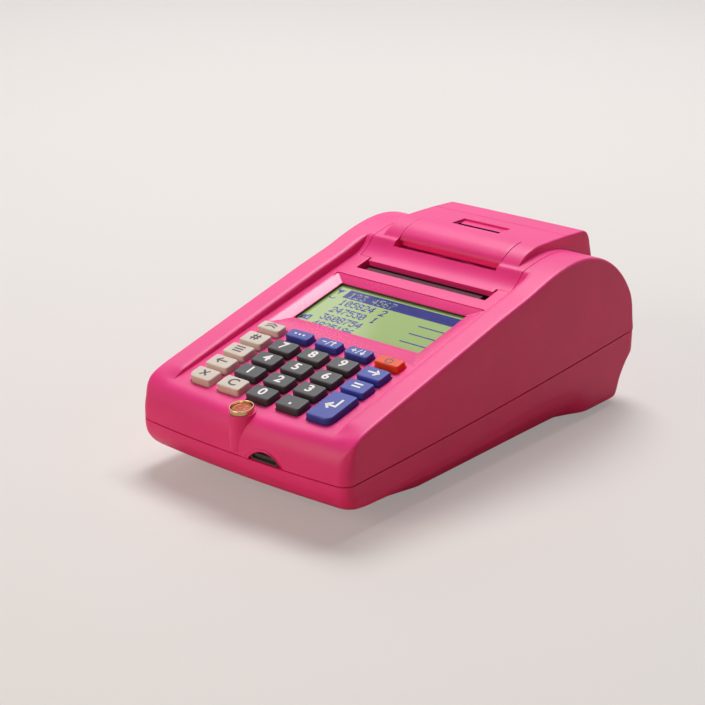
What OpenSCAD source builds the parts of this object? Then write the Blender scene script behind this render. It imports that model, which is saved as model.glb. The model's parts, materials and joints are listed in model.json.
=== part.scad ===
// Portable ticket register: wedge body, 24-key pad, sunk display, thermal printer under a hinged cover.
// X runs across the body, Y from the keypad end to the printer end, Z up from the table.

/* [Body] */
// Width of the body over its two side walls
body_w = 105; // [104:0.5:112]
// Furthest point of the front face, on the centre line
front_y = -95.1; // [-98:0.1:-94]
// How far the front face bows out over the width
front_bow = 2.2; // [1.5:0.1:3]
// Plan radius of the four upright corners
corner_r = 5; // [4:0.5:7]
// Thickness of the outer walls
wall = 2.2; // [1.8:0.1:2.4]
// Height of the underside above the table
floor_z = 2.2; // [2:0.1:3]
// Height of the parting line at the front
seam_front_z = 20; // [19:0.5:21]
// Rise of the parting line from front to rear
seam_rise = 10.3; // [8:0.1:12]

/* [Printer hump] */
// Place of the hump arc's centre along the body
hump_y = 50.2; // [49.5:0.1:52]
// Height of the hump arc's centre
hump_z = 25; // [24.5:0.1:25.5]
// Radius of the hump arc
hump_r = 45.5; // [45:0.1:46]

/* [Panel] */
// Slope of the keypad panel in degrees
panel_tilt = 13.23; // [13:0.01:13.5]
// Place of the bottom key row along the body
row_y = -79; // [-79.5:0.1:-78.5]
// Height of the panel's surface at the bottom key row
row_z = 37.47; // [37:0.01:38]
// Half width of the sunk panel between the rims
panel_half = 41.4; // [41:0.1:42]
// Height of the rims above the panel
rim_h = 3.8; // [3.4:0.1:4.2]

/* [Keys] */
// Column pitch
key_pitch_x = 15; // [14.5:0.1:15.2]
// Row pitch up the slope
key_pitch_s = 9.68; // [9.5:0.01:10]
// Width of a key
key_w = 12; // [11:0.1:12.4]
// Length of a key up the slope
key_l = 7.9; // [7:0.1:8.1]
// Length of the shorter keys in the top row
top_key_l = 5.9; // [5:0.1:6.5]
// Height of the keys above the panel
key_rise = 2.6; // [2:0.1:3.2]
// Corner radius of the keys
key_r = 1.2; // [0.8:0.1:1.5]
// Large corner radius on the two outer keys of the bottom row
key_corner_r = 3.2; // [2.5:0.1:3.6]
// Gap around a key in its hole
key_gap = 0.25; // [0.2:0.05:0.35]
// Travel of a key
key_travel = 1.2; // [0.8:0.1:1.3]

/* [Display] */
// Width of the visible display
lcd_w = 63.8; // [60:0.1:65]
// Length of the visible display up the slope
lcd_l = 30.6; // [28:0.1:31.5]
// Distance of the display's front edge from the bottom key row, up the slope
lcd_s = 53.3; // [52.5:0.1:54]
// Depth of the display below the panel
lcd_depth = 1.6; // [1.4:0.1:1.8]

/* [Cover] */
// Half width of the printer cover
cover_half = 38.5; // [38.2:0.1:38.8]
// Half width of the cover's raised hood
hood_half = 33.7; // [33.4:0.1:34]
// Wall of the cover
cover_wall = 1.8; // [1.6:0.1:2]
// Gap between the cover and the body
cover_gap = 0.3; // [0.25:0.05:0.4]
// Half width of the release flap in the hood
flap_half = 26.1; // [25:0.1:27]
// Radius of the rounded hinge edge of the cover
hinge_edge_r = 5; // [4.8:0.1:5.2]
// Radius of the two hinge pins
hinge_pin_r = 1.5; // [1.2:0.1:1.8]
// Width of the slot in the hood's top
hood_slot_w = 24.2; // [20:0.2:28]

/* [Printer] */
// Width of the paper path
paper_w = 58; // [57:0.5:58.5]
// Inner radius of the paper well
well_r = 22.5; // [21:0.5:23]
// Radius of the platen roller
platen_r = 4; // [3.6:0.1:4.1]
// Radius of the platen shaft
platen_shaft_r = 1.5; // [1.2:0.1:1.7]
// Gear module of the paper feed
gear_m = 0.5; // [0.5:0.01:0.52]
// Radius of the feed motor
motor_r = 8.5; // [7:0.5:8.5]

/* [Seal cup] */
// Outer radius of the brass cup
cup_r = 4.7; // [4.4:0.1:4.9]
// Height of the cup above its seat
cup_h = 3; // [2.6:0.1:3.6]

/* [Charging port] */
// Centre of the port's arch across the front
port_x = 13; // [11:0.1:14]
// Width of the arch on the parting line
port_w = 17; // [15:0.5:18]
// Height of the arch
port_h = 5; // [4.6:0.1:5.4]

/* [Feet] */
// Radius of a rubber foot
foot_r = 5; // [4:0.5:6]
// Depth of the foot's seat in the underside
foot_seat = 0.8; // [0.5:0.1:1]
// Distance of the feet from the centre line
foot_x = 36; // [34:0.5:38]

/* [Hidden] */
$fn = 64;
far = 160;
half_w = body_w / 2;
rear_y = hump_y + hump_r;
body_l = rear_y - front_y;
hump = [hump_y, hump_z];
panel_slope = tan(panel_tilt);
seam_bow = 0.45;
fit = 0.05;

pink = [0.9, 0.2, 0.42];
dark_grey = [0.22, 0.23, 0.24];
key_cream = [0.86, 0.82, 0.77];
key_blue = [0.26, 0.34, 0.68];
key_orange = [0.92, 0.42, 0.12];
black = [0.07, 0.07, 0.08];
steel = [0.66, 0.67, 0.69];
board_green = [0.08, 0.32, 0.16];

function unit(v) = v / norm(v);
function right_of(v) = [v[1], -v[0]];
function cut_in(a, b, c, d) =
    let (n1 = right_of(unit(b - a)), n2 = right_of(unit(c - b))) b + (n1 + n2) * d / (1 + n1 * n2);
// A closed clockwise outline, moved inwards by d.
function inset_loop(p, d) =
    [for (i = [0:len(p) - 1]) cut_in(p[(i + len(p) - 1) % len(p)], p[i], p[(i + 1) % len(p)], d)];
// An open path with the solid on its right, moved into the solid by d.
function inset_path(p, d) = let (n = len(p) - 1) concat(
    [p[0] + right_of(unit(p[1] - p[0])) * d],
    [for (i = [1:n - 1]) cut_in(p[i - 1], p[i], p[i + 1], d)],
    [p[n] + right_of(unit(p[n] - p[n - 1])) * d]);
function bezier(a, b, c, d, n) = [for (i = [0:n]) let (t = i / n, u = 1 - t)
    u * u * u * a + 3 * u * u * t * b + 3 * u * t * t * c + t * t * t * d];
function arc(c, r, a0, a1, n) = [for (i = [0:n]) let (a = a0 + (a1 - a0) * i / n) c + r * [cos(a), sin(a)]];

// Heights along the body
function panel_z(y) = row_z + (y - row_y) * panel_slope;
function rim_z(y) = panel_z(y) + rim_h;
function seam_z(y) = let (s = (y - front_y) / body_l)
    seam_front_z + seam_rise * (seam_bow * s + (1 - seam_bow) * s * s);

// Side outline, clockwise in Y and Z: sole, front, straight rim, swell, hump arc, heel
swell_y = hump_y - 35.2;
swell = bezier([swell_y, rim_z(swell_y)], [swell_y + 8, rim_z(swell_y + 8)],
    hump + [-14.7, hump_r], hump + [0, hump_r], 10);
side_outline = concat(
    [[rear_y - 11.5, floor_z], [front_y - 2, floor_z], [front_y - 2, rim_z(front_y - 2)]],
    swell, arc(hump, hump_r, 85, -6, 16),
    [[rear_y - 0.8, 19], [rear_y - 4.2, 15], [rear_y - 8.7, 9]]);

// Nose outline, measured back from the front face: sloping underside, upright face, rounded top
nose_l = 28;
nose_top = rim_z(front_y + front_bow + nose_l);
nose_path = concat(
    [[nose_l + 43, floor_z - 3], [6, 8.6], [2.5, 11.2], [0.7, 14.5], [0, 18]],
    bezier([0, 23], [0, nose_top - 9], [9, nose_top - 5.3], [nose_l, nose_top], 10),
    [[nose_l + 12, nose_top + 7]]);
plan_x = half_w - corner_r;
bow_r = (plan_x * plan_x + front_bow * front_bow) / (2 * front_bow);

// Plan and cross outlines, both moved inwards by d
function plan_outline(d) = let (r = corner_r - d, yr = rear_y - corner_r) concat(
    arc([-plan_x, front_y + front_bow + corner_r], r, 180, 270, 6), [[-plan_x, front_y - 2], [plan_x, front_y - 2]],
    arc([plan_x, front_y + front_bow + corner_r], r, 270, 360, 6),
    arc([plan_x, yr], r, 0, 90, 6), arc([-plan_x, yr], r, 90, 180, 6));
sole_r = 6;
function cross_outline(d) = concat(
    [[half_w - d, far], [-half_w + d, far]],
    arc([-half_w + sole_r, floor_z + sole_r], sole_r - d, 180, 270, 5),
    arc([half_w - sole_r, floor_z + sole_r], sole_r - d, 270, 360, 5));

// Extrudes an outline given in Y and Z along X, from x0 to x1.
module along_x(x0, x1) {
    translate([x0, 0, 0]) rotate([90, 0, 90]) linear_extrude(x1 - x0) children();
}
module rod_x(x0, x1, r, c) {
    translate([x0, c[0], c[1]]) rotate([0, 90, 0]) cylinder(r = r, h = x1 - x0);
}
module block(x0, x1, y0, y1, z0, z1) {
    translate([x0, y0, z0]) cube([x1 - x0, y1 - y0, z1 - z0]);
}
module post(x, y, z0, z1, r) {
    translate([x, y, z0]) cylinder(r = r, h = z1 - z0);
}
module both_sides() {
    children();
    mirror([1, 0, 0]) children();
}

// The whole outer form, moved inwards by d.
module form(d) {
    intersection() {
        along_x(-half_w, half_w) polygon(inset_loop(side_outline, d));
        translate([0, front_y + bow_r, 0]) rotate_extrude($fn = 256)
            polygon(concat([for (p = inset_path(nose_path, d)) [bow_r - p[0], p[1]]], [[0, far], [0, -far]]));
        translate([0, 0, -1]) linear_extrude(far) polygon(plan_outline(d));
        translate([0, far, 0]) rotate([90, 0, 0]) linear_extrude(2 * far) polygon(cross_outline(d));
    }
}

seam_line = [for (i = [0:12]) let (y = front_y - 3 + i * (body_l + 6) / 12) [y, seam_z(y)]];
module above_seam() {
    along_x(-far, far) polygon(concat(seam_line, [[rear_y + 3, far], [front_y - 3, far]]));
}
module below_seam() {
    along_x(-far, far) polygon(concat(seam_line, [[rear_y + 3, -far], [front_y - 3, -far]]));
}

// The panel's own frame: X across, Y up the slope, Z out of the panel.
module on_panel(x = 0, s = 0, n = 0) {
    translate([0, row_y, row_z]) rotate([panel_tilt, 0, 0]) translate([x, s, n]) children();
}
module panel_block(x0, x1, s0, s1, n0, n1) {
    on_panel() block(x0, x1, s0, s1, n0, n1);
}

// Cover places
cover_y = hump_y - 28.3;
lip_y = cover_y - 1.9;
lip_half = 31.9;
bay_half = cover_half + cover_gap;
slot_y = cover_y - 8.8;
slot_half = lip_half + 1.7;
knee_y = hump_y - 20.4;
knee = [knee_y, lookup(knee_y, swell)];
scoop_mid = [lip_y + 6.5, panel_z(lip_y + 6.5)];
lip = [lip_y, panel_z(lip_y)];
// The panel, then the scoop that rises from it into the hump
scoop_path = concat([[front_y - 3, panel_z(front_y - 3)]],
    bezier(lip, lip + (scoop_mid - lip) * 2 / 3, knee + (scoop_mid - knee) * 2 / 3, knee, 8),
    [knee + [1.2, 2.6]]);
module above_scoop(half, d) {
    along_x(-half, half) polygon(concat(inset_path(scoop_path, d), [[knee_y + 1.2, far], [front_y - 3, far]]));
}
hinge_angle = 35;
hinge_ray = [cos(hinge_angle), sin(hinge_angle)];
hinge = hump + (hump_r - 3.7) * hinge_ray;
pocket_r = hinge_edge_r + 0.4;

// Hood outline above the hump, from its front foot over the top to its rear foot
hood_top = 3.6;
hood_foot = hump + (hump_r - 0.26) * [cos(36.64), sin(36.64)];
hood_line = concat(
    [for (p = [[-19.7, -3.9], [-15.1, -0.1], [-9.2, hood_top - 1.2], [-3.6, hood_top], [-1, hood_top],
        [7, hood_top - 0.4], [16.6, hood_top - 1.1]]) hump + [0, hump_r] + p],
    [for (p = [[-8.3, hood_top - 1.8], [-5.7, hood_top - 2.7], [-4, hood_top - 4.5], [-1.8, hood_top - 10.5],
        [-0.9, hood_top - 13.5]]) [hood_foot[0] + p[0], hump_z + hump_r + p[1]]],
    [hood_foot]);
hood_floor = [hood_foot + [-8.3, -5], hump + [0, hump_r - 13.5], hump + [-16, hump_r - 9.5]];

// Flap outline in the hood, from its lip up to its crease
crease = [hump_y - 3.6, hump_z + hump_r + hood_top];
flap_line = [for (p = [[-15.3, -5.7], [-12.2, -5.3], [-8.3, -2.1], [-3.6, -0.3], [0, 0]]) crease + p];
flap_t = 1.5;

// Printer places, in Y and Z
platen = [hump_y - 23.7, hump_z + 29.8];
platen_teeth = 18;
idler_teeth = 30;
pinion_teeth = 12;
idler_dir = 260;
idler = platen + gear_m * (platen_teeth + idler_teeth) / 2 * [cos(idler_dir), sin(idler_dir)];
pinion_dir = 210;
pinion = idler + gear_m * (idler_teeth + pinion_teeth) / 2 * [cos(pinion_dir), sin(pinion_dir)];
// The drive fills the cover's inner width: gears, side plates, roller
gear_w = 2;
gear_x = cover_half - cover_wall - 1.7 - gear_w;
well = [hump_y + 1.8, hump_z + 13];
well_wall = 1.6;
well_half = (paper_w + 0.8) / 2;
plate_x = gear_x - 2.8;
plate_t = 1.5;
roller_half = plate_x - 1.2;
head_y = platen[0] - platen_r - 0.5;
head_t = 1.6;
head_z = platen[1] - 8.3;
shaft_r = 0.75;
stub_r = 1;

// Keys: name, column, row from the bottom, length, corner radii from the lower left round to the upper left
plain = [key_r, key_r, key_r, key_r];
KEYS = [
    ["key_quantity", 0, 0, key_l, [key_corner_r, key_r, key_r, key_r]],
    ["key_clear", 1, 0, key_l, plain], ["key_0", 2, 0, key_l, plain], ["key_point", 3, 0, key_l, plain],
    ["key_total", 4, 0.5, key_l + key_pitch_s, [key_r, key_corner_r, key_r, key_r]],
    ["key_void", 0, 1, key_l, plain], ["key_1", 1, 1, key_l, plain], ["key_2", 2, 1, key_l, plain],
    ["key_3", 3, 1, key_l, plain],
    ["key_department", 0, 2, key_l, plain], ["key_4", 1, 2, key_l, plain], ["key_5", 2, 2, key_l, plain],
    ["key_6", 3, 2, key_l, plain], ["key_subtotal", 4, 2, key_l, plain],
    ["key_item", 0, 3, key_l, plain], ["key_7", 1, 3, key_l, plain], ["key_8", 2, 3, key_l, plain],
    ["key_9", 3, 3, key_l, plain], ["key_payment", 4, 3, key_l, plain],
    ["key_feed", 0, 4, top_key_l, plain], ["key_function", 1, 4, top_key_l, plain],
    ["key_minus", 2, 4, top_key_l, plain], ["key_plus", 3, 4, top_key_l, plain],
    ["key_power", 4, 4, top_key_l, plain]];
function key_at(k) = [(k[1] - 2) * key_pitch_x, k[2] * key_pitch_s];
function rounded(w, l, r) = concat(
    arc([r[0] - w / 2, r[0] - l / 2], r[0], 180, 270, 4), arc([w / 2 - r[1], r[1] - l / 2], r[1], 270, 360, 4),
    arc([w / 2 - r[2], l / 2 - r[2]], r[2], 0, 90, 4), arc([r[3] - w / 2, l / 2 - r[3]], r[3], 90, 180, 4));
function grown(k, g) = rounded(key_w + 2 * g, k[3] + 2 * g, [for (r = k[4]) r + g]);

key_under = -wall - 0.2;
flange_t = 1;
mat_top = key_under - flange_t - key_travel - 1.6;
mat_t = 1;
pad_top = mat_top + 1.4;
key_board_t = 1.6;
mat_half = 2 * key_pitch_x + key_w / 2 + 3.6;
mat_s0 = -key_pitch_s / 2 - 0.4;
mat_s1 = 4 * key_pitch_s + top_key_l / 2 + 1.8;
mat_pins = [for (x = [-1, 1], s = [0.5, 3.5]) [x * (mat_half - 1.6), s * key_pitch_s]];

module one_key(name) {
    k = KEYS[search([name], KEYS)[0]];
    at = key_at(k);
    on_panel(at[0], at[1]) {
        translate([0, 0, key_under]) linear_extrude(key_rise - key_under - 0.5) polygon(grown(k, 0));
        translate([0, 0, key_rise - 0.5]) linear_extrude(0.5) polygon(grown(k, -0.35));
        translate([0, 0, key_under - flange_t]) linear_extrude(flange_t) polygon(grown(k, 0.55));
    }
}

// Display places in the panel's frame
lcd_half = lcd_w / 2;
lcd_s1 = lcd_s + lcd_l;
pad_n = -lcd_depth - 2.2;
lens_t = 1;

// Battery places
cell_r = 9.2;
cell_half = 32.5;
cells = [[-66, 17], [-47, 17]];
door_y0 = -83;
door_y1 = -37;
door_half = 33.6;
door_gap = 0.3;
door_screw_y = -79.5;

// Screws that join the two shells
front_screw = [44, -78];
rear_screw = [45.5, hump_y + 19.8];
screw_r = 1.4;
head_r = 2.7;
screw_seat_z = 13;

frame_z = 27;
board_z = 14;
board_t = 1.6;
board_half = 36;
board_y0 = -36;
board_y1 = 8;
board_posts = [for (x = [-31, 31], y = [board_y0 + 4, board_y1 - 4]) [x, y]];

port_z = seam_z(front_y);
port_rim = 1.7;
function arch_r(c, h) = (c * c / 4 + h * h) / (2 * h);
// A flat-bottomed arch c wide and h high on the parting line, from y0 to y1.
module arch(c, h, y0, y1) {
    intersection() {
        translate([port_x, y1, port_z + h - arch_r(c, h)]) rotate([90, 0, 0])
            cylinder(r = arch_r(c, h), h = y1 - y0);
        block(port_x - c, port_x + c, y0, y1, port_z - 0.5, port_z + h);
    }
}

cup_s = -11.7;
cup_wall = 0.5;
cup_seat = 0.8;
foot_places = [for (x = [-foot_x, foot_x], y = [-30, hump_y + 21.8]) [x, y]];

// ---- shells ----
module top_shell() {
    color(pink) difference() {
        union() {
            intersection() {
                difference() {
                    form(0);
                    difference() {
                        form(wall);
                        along_x(-panel_half - wall, panel_half + wall) polygon(concat(
                            inset_path(scoop_path, wall), [[knee_y + 1.2, far], [front_y - 3, far]]));
                    }
                }
                above_seam();
            }
            panel_block(-lcd_half - 8, lcd_half + 8, lcd_s - 10.5, lcd_s1 + 6, pad_n, -0.2);
            both_sides() {
                // bay wall beside the cover, with the hinge pin's seat
                intersection() {
                    form(0.8);
                    block(bay_half, bay_half + 1.8, cover_y - 1, rear_y, hump_z + 12, far);
                }
                // screw bosses
                intersection() {
                    post(front_screw[0], front_screw[1], seam_z(front_screw[1]), panel_z(front_screw[1]) - 1, 3.2);
                    above_seam();
                }
                intersection() {
                    union() {
                        post(rear_screw[0], rear_screw[1], seam_z(rear_screw[1]) - 1, 48, 3.2);
                        block(rear_screw[0], half_w - 1, rear_screw[1] - 0.8, rear_screw[1] + 0.8,
                            seam_z(rear_screw[1]) - 1, 48);
                    }
                    above_seam();
                }
            }
            for (p = mat_pins) on_panel(p[0], p[1]) {
                translate([0, 0, mat_top - mat_t]) cylinder(r = 1.3, h = -wall - mat_top + mat_t + 0.5);
                translate([0, 0, mat_top - mat_t - key_board_t - 0.6]) cylinder(r = 0.7, h = key_board_t + 1);
            }
            // seal boss on the nose
            intersection() {
                translate([0, row_y + cup_s * cos(panel_tilt), 24.5]) cylinder(r1 = cup_r, r2 = cup_r + 0.6, h = 12);
                panel_block(-20, 20, cup_s - 20, cup_s + 20, -20, 0);
            }
            intersection() {
                arch(port_w + 2 * port_rim, port_h + 1.2, front_y - 0.5, front_y + 6);
                form(-0.5);
            }
        }
        intersection() {
            above_scoop(panel_half, 0);
            block(-panel_half, panel_half, front_y + 3, knee_y + 1.2, 0, far);
            translate([0, 0, 0]) panel_block(-far, far, cup_s + cup_r + 0.7, far, -20, far);
        }
        // display recess: a truncated pyramid
        intersection() {
            on_panel() rotate([90, 0, 0]) translate([0, 0, -far]) linear_extrude(far) polygon([
                [-lcd_half - 6.1 - 7.6, 2], [-lcd_half, -lcd_depth], [lcd_half, -lcd_depth], [lcd_half + 6.1 + 7.6, 2]]);
            on_panel() along_x(-far, far) polygon([
                [lcd_s, -lcd_depth], [lcd_s1, -lcd_depth], [lcd_s1 + 10.8, 2], [lcd_s - 24.3, 2]]);
        }
        panel_block(-lcd_half, lcd_half, lcd_s, lcd_s1, pad_n - 1, 1);
        for (k = KEYS) let (at = key_at(k)) on_panel(at[0], at[1])
            translate([0, 0, -wall - 1]) linear_extrude(wall + 3) polygon(grown(k, key_gap));
        // paper slot, cover bay and hinge pocket
        block(-slot_half, slot_half, slot_y, cover_y + 0.1, 50, far);
        along_x(-bay_half, bay_half) polygon([[cover_y, hump_z + 12], hump, hump + 100 * hinge_ray,
            [hump_y + 100 * hinge_ray[0], far], [cover_y, far]]);
        rod_x(-bay_half, bay_half, pocket_r, hinge);
        rod_x(-bay_half - 2, bay_half + 2, hinge_pin_r, hinge);
        on_panel(0, cup_s, -cup_seat) cylinder(r = cup_r, h = 5);
        arch(port_w, port_h, front_y - 3, front_y + 6);
        both_sides() {
            post(front_screw[0], front_screw[1], 0, panel_z(front_screw[1]) - 4, 1.1);
            post(rear_screw[0], rear_screw[1], 0, 44, 1.1);
        }
    }
}

module base_shell() {
    color(pink) difference() {
        union() {
            intersection() {
                difference() {
                    form(0);
                    form(wall);
                }
                below_seam();
            }
            intersection() {
                form(0.8);
                below_seam();
                union() {
                    both_sides() {
                        post(front_screw[0], front_screw[1], 0, 40, 4.2);
                        post(rear_screw[0], rear_screw[1], 0, 40, 4.2);
                        block(door_half + 0.6, door_half + 2.2, -78, -38, 0, 18);
                        block(17, 19.5, well[0] - 16, well[0] + 16, 0, 22);
                        for (y = [pinion[0], platen[0] - 3]) post(26, y, 0, frame_z, 3.4);
                    }
                    for (p = board_posts) post(p[0], p[1], 0, board_z, 2.8);
                    for (x = [-7, 7]) post(port_x + x, front_y + 9, 0, port_z - 1.2, 1.8);
                    block(-4, 4, door_y0 - 4, door_screw_y + 3.5, 0, 14);
                }
            }
        }
        rod_x(-30, 30, well_r + well_wall, well);
        block(-door_half, door_half, door_y0, door_y1, 0, 9.6);
        post(0, door_screw_y, 0, 13, 0.9);
        both_sides() {
            post(front_screw[0], front_screw[1], 0, screw_seat_z, head_r + 0.3);
            post(front_screw[0], front_screw[1], 0, 40, screw_r + 0.1);
            post(rear_screw[0], rear_screw[1], 0, screw_seat_z, head_r + 0.3);
            post(rear_screw[0], rear_screw[1], 0, 40, screw_r + 0.1);
        }
        for (p = foot_places) post(p[0], p[1], 0, floor_z + foot_seat, foot_r);
    }
}

// ---- keypad ----
module key_quantity() { color(key_cream) one_key("key_quantity"); }
module key_clear() { color(key_cream) one_key("key_clear"); }
module key_0() { color(dark_grey) one_key("key_0"); }
module key_point() { color(dark_grey) one_key("key_point"); }
module key_total() { color(key_blue) one_key("key_total"); }
module key_void() { color(key_cream) one_key("key_void"); }
module key_1() { color(dark_grey) one_key("key_1"); }
module key_2() { color(dark_grey) one_key("key_2"); }
module key_3() { color(dark_grey) one_key("key_3"); }
module key_department() { color(key_cream) one_key("key_department"); }
module key_4() { color(dark_grey) one_key("key_4"); }
module key_5() { color(dark_grey) one_key("key_5"); }
module key_6() { color(dark_grey) one_key("key_6"); }
module key_subtotal() { color(key_blue) one_key("key_subtotal"); }
module key_item() { color(key_cream) one_key("key_item"); }
module key_7() { color(dark_grey) one_key("key_7"); }
module key_8() { color(dark_grey) one_key("key_8"); }
module key_9() { color(dark_grey) one_key("key_9"); }
module key_payment() { color(key_blue) one_key("key_payment"); }
module key_feed() { color(key_cream) one_key("key_feed"); }
module key_function() { color(key_blue) one_key("key_function"); }
module key_minus() { color(key_blue) one_key("key_minus"); }
module key_plus() { color(key_blue) one_key("key_plus"); }
module key_power() { color(key_orange) one_key("key_power"); }

module key_mat() {
    color([0.75, 0.76, 0.78]) difference() {
        union() {
            panel_block(-mat_half, mat_half, mat_s0, mat_s1, mat_top - mat_t, mat_top);
            for (k = KEYS) let (at = key_at(k)) on_panel(at[0], at[1], mat_top - 0.2)
                cylinder(r1 = 2.9, r2 = 2.2, h = pad_top - mat_top + 0.2);
        }
        for (p = mat_pins) on_panel(p[0], p[1], mat_top - mat_t - 1) cylinder(r = 1.3 + fit, h = mat_t + 2);
    }
}

module key_board() {
    color(board_green) difference() {
        panel_block(-mat_half, mat_half, mat_s0, mat_s1, mat_top - mat_t - key_board_t, mat_top - mat_t);
        for (p = mat_pins) on_panel(p[0], p[1], mat_top - mat_t - key_board_t - 1)
            cylinder(r = 0.7 + fit, h = key_board_t + 2);
    }
}

// ---- display ----
module lens() {
    color([0.72, 0.82, 0.58]) union() {
        panel_block(-lcd_half + 0.1, lcd_half - 0.1, lcd_s + 0.1, lcd_s1 - 0.1, pad_n, -lcd_depth - 0.05);
        panel_block(-lcd_half - 3, lcd_half + 3, lcd_s - 3, lcd_s1 + 3, pad_n - lens_t, pad_n);
    }
}

module lcd_module() {
    color([0.2, 0.24, 0.2]) union() {
        panel_block(-lcd_half - 4, lcd_half + 4, lcd_s - 5, lcd_s1 + 5, pad_n - lens_t - 3.6, pad_n - lens_t);
        panel_block(-lcd_half - 4, lcd_half + 4, lcd_s - 5.8, lcd_s1 + 5.8, pad_n - lens_t - 4.8, pad_n - lens_t - 3.6);
    }
}

// ---- nose ----
module seal_cup() {
    color([0.8, 0.6, 0.25]) on_panel(0, cup_s, -cup_seat) difference() {
        cylinder(r = cup_r, h = cup_h + cup_seat);
        translate([0, 0, 0.6]) cylinder(r = cup_r - cup_wall, h = cup_h + 1);
    }
}

module seal() {
    color([0.62, 0.25, 0.16]) on_panel(0, cup_s, 0.6 - cup_seat) union() {
        cylinder(r = cup_r - cup_wall, h = 1.5);
        translate([0, 0, 1.5]) cylinder(r1 = cup_r - cup_wall - 0.3, r2 = cup_r - cup_wall - 0.9, h = 0.4);
    }
}

module port_board() {
    color(board_green) block(port_x - port_w / 2 + 0.4, port_x + port_w / 2 - 0.4, front_y + 3.4, front_y + 14, port_z - 1.2, port_z + 0.4);
}

module usb_socket() {
    color(steel) difference() {
        block(port_x - 4, port_x + 4, front_y + 2.6, front_y + 9, port_z + 0.4, port_z + 3.4);
        block(port_x - 3.5, port_x + 3.5, front_y + 2, front_y + 7.5, port_z + 0.9, port_z + 1.5);
        block(port_x - 3.5, port_x + 3.5, front_y + 2, front_y + 7.5, port_z + 2.3, port_z + 2.9);
        block(port_x - 3.5, port_x + 3.5, front_y + 2, front_y + 3.6, port_z + 0.9, port_z + 2.9);
    }
}

// ---- cover ----
module cover() {
    color(pink) difference() {
        union() {
            difference() {
                union() {
                    difference() {
                        union() {
                            intersection() {
                                form(0);
                                along_x(-cover_half, cover_half) polygon([
                                    [cover_y + cover_gap, hump_z + 12], hump, hump + 100 * hinge_ray,
                                    [hump_y + 100 * hinge_ray[0], far], [cover_y + cover_gap, far]]);
                            }
                            block(-lip_half, lip_half, lip_y, cover_y + 1, 54, far);
                        }
                        above_scoop(far, 0);
                    }
                    along_x(-hood_half, hood_half) polygon(concat(hood_line, hood_floor));
                }
                // hollow under the skin
                rod_x(-far, far, hump_r - 5.5, hump);
                difference() {
                    along_x(cover_wall - cover_half, cover_half - cover_wall)
                        polygon(inset_loop(side_outline, cover_wall));
                    above_scoop(far, cover_wall);
                }
                along_x(cover_wall - hood_half, hood_half - cover_wall)
                    polygon(concat(inset_path(hood_line, cover_wall), hood_floor));
            }
            // rounded hinge edge, solid at both ends
            difference() {
                intersection() {
                    form(0);
                    rod_x(-cover_half, cover_half, hinge_edge_r, hinge);
                }
                intersection() {
                    form(cover_wall);
                    rod_x(-28, 28, hinge_edge_r - cover_wall, hinge);
                }
            }
            // tray under the flap
            intersection() {
                along_x(-flap_half - 2, flap_half + 2) polygon(concat(hood_line, hood_floor));
                block(-far, far, knee_y - 1, crease[0] - 0.6, crease[1] - 11.5, crease[1] - 0.9);
            }
            both_sides() {
                // ear for the platen
                along_x(plate_x, plate_x + 2) union() {
                    translate(platen) circle(r = 3.2);
                    polygon([platen - [3.2, 0], [platen[0] - 3.2, lip[1] - 0.7],
                        [platen[0] + 3.2, knee[1] - 1.4], platen + [3.2, 0]]);
                }
                // finger ledge in the hood slot
                block(0, hood_slot_w / 2 + 1.5, hump_y - 2.5, hump_y + 8.5, crease[1] - 5, crease[1] - 1.2);
            }
        }
        // flap opening and its tray
        along_x(-flap_half - 0.3, flap_half + 0.3) polygon(concat(
            [crease + [0, 2], crease + [0, -1.7], crease - [1.6, 9.6], [knee_y + 0.4, crease[1] - 9.6],
                [knee_y - 0.7, crease[1] - 8.9], [knee_y - 2, crease[1] - 8.9]], [crease + [-20, 2]]));
        block(-hood_slot_w / 2, hood_slot_w / 2, hump_y - 0.9, hump_y + 7, crease[1] - 3.4, crease[1] + 1);
        both_sides() {
            rod_x(plate_x - 1, plate_x + 3, 2.5, platen);
            rod_x(29, far, hinge_pin_r + fit, hinge);
        }
        // customer window in the hood's rear face
        block(-window_half, window_half, hood_foot[0] - 5, hood_foot[0] + 6, window_z - 3, window_z + 3);
    }
}
window_half = 19;
window_z = hood_foot[1] + 6;

module customer_window() {
    color([0.15, 0.16, 0.17]) intersection() {
        block(-window_half + 0.05, window_half - 0.05, hood_foot[0] - 5, hood_foot[0] + 6,
            window_z - 2.95, window_z + 2.95);
        difference() {
            along_x(-far, far) polygon(concat(inset_path(hood_line, 0.2), hood_floor));
            along_x(-far, far) polygon(concat(inset_path(hood_line, cover_wall), hood_floor));
        }
    }
}

module customer_display() {
    color([0.2, 0.24, 0.2]) block(-window_half - 2, window_half + 2, hood_foot[0] - 6.4, hood_foot[0] - 3.2,
        window_z - 3.8, window_z + 4);
}

module hood_flap() {
    color(pink) union() {
        difference() {
            along_x(-flap_half, flap_half) polygon(concat(flap_line, [for (p = reversed(flap_line)) p + flap_in(p)]));
        }
        along_x(-9, 9) polygon([crease + [-9.4, -3.3], crease + [-7.9, -2.6], crease + [-7.4, -6.4], crease + [-8.6, -6.4]]);
    }
}
function reversed(p) = [for (i = [len(p) - 1:-1:0]) p[i]];
// Step from the flap's outer line to its inner one: straight down at the crease, inwards at the lip
function flap_in(p) = let (t = (crease[0] - p[0]) / 15.3) flap_t * [0.55 * t * (1 - t) * 4, -1];

module hinge_pins() {
    color(steel) both_sides() rod_x(32, bay_half + 3.2, hinge_pin_r, hinge);
}

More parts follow.
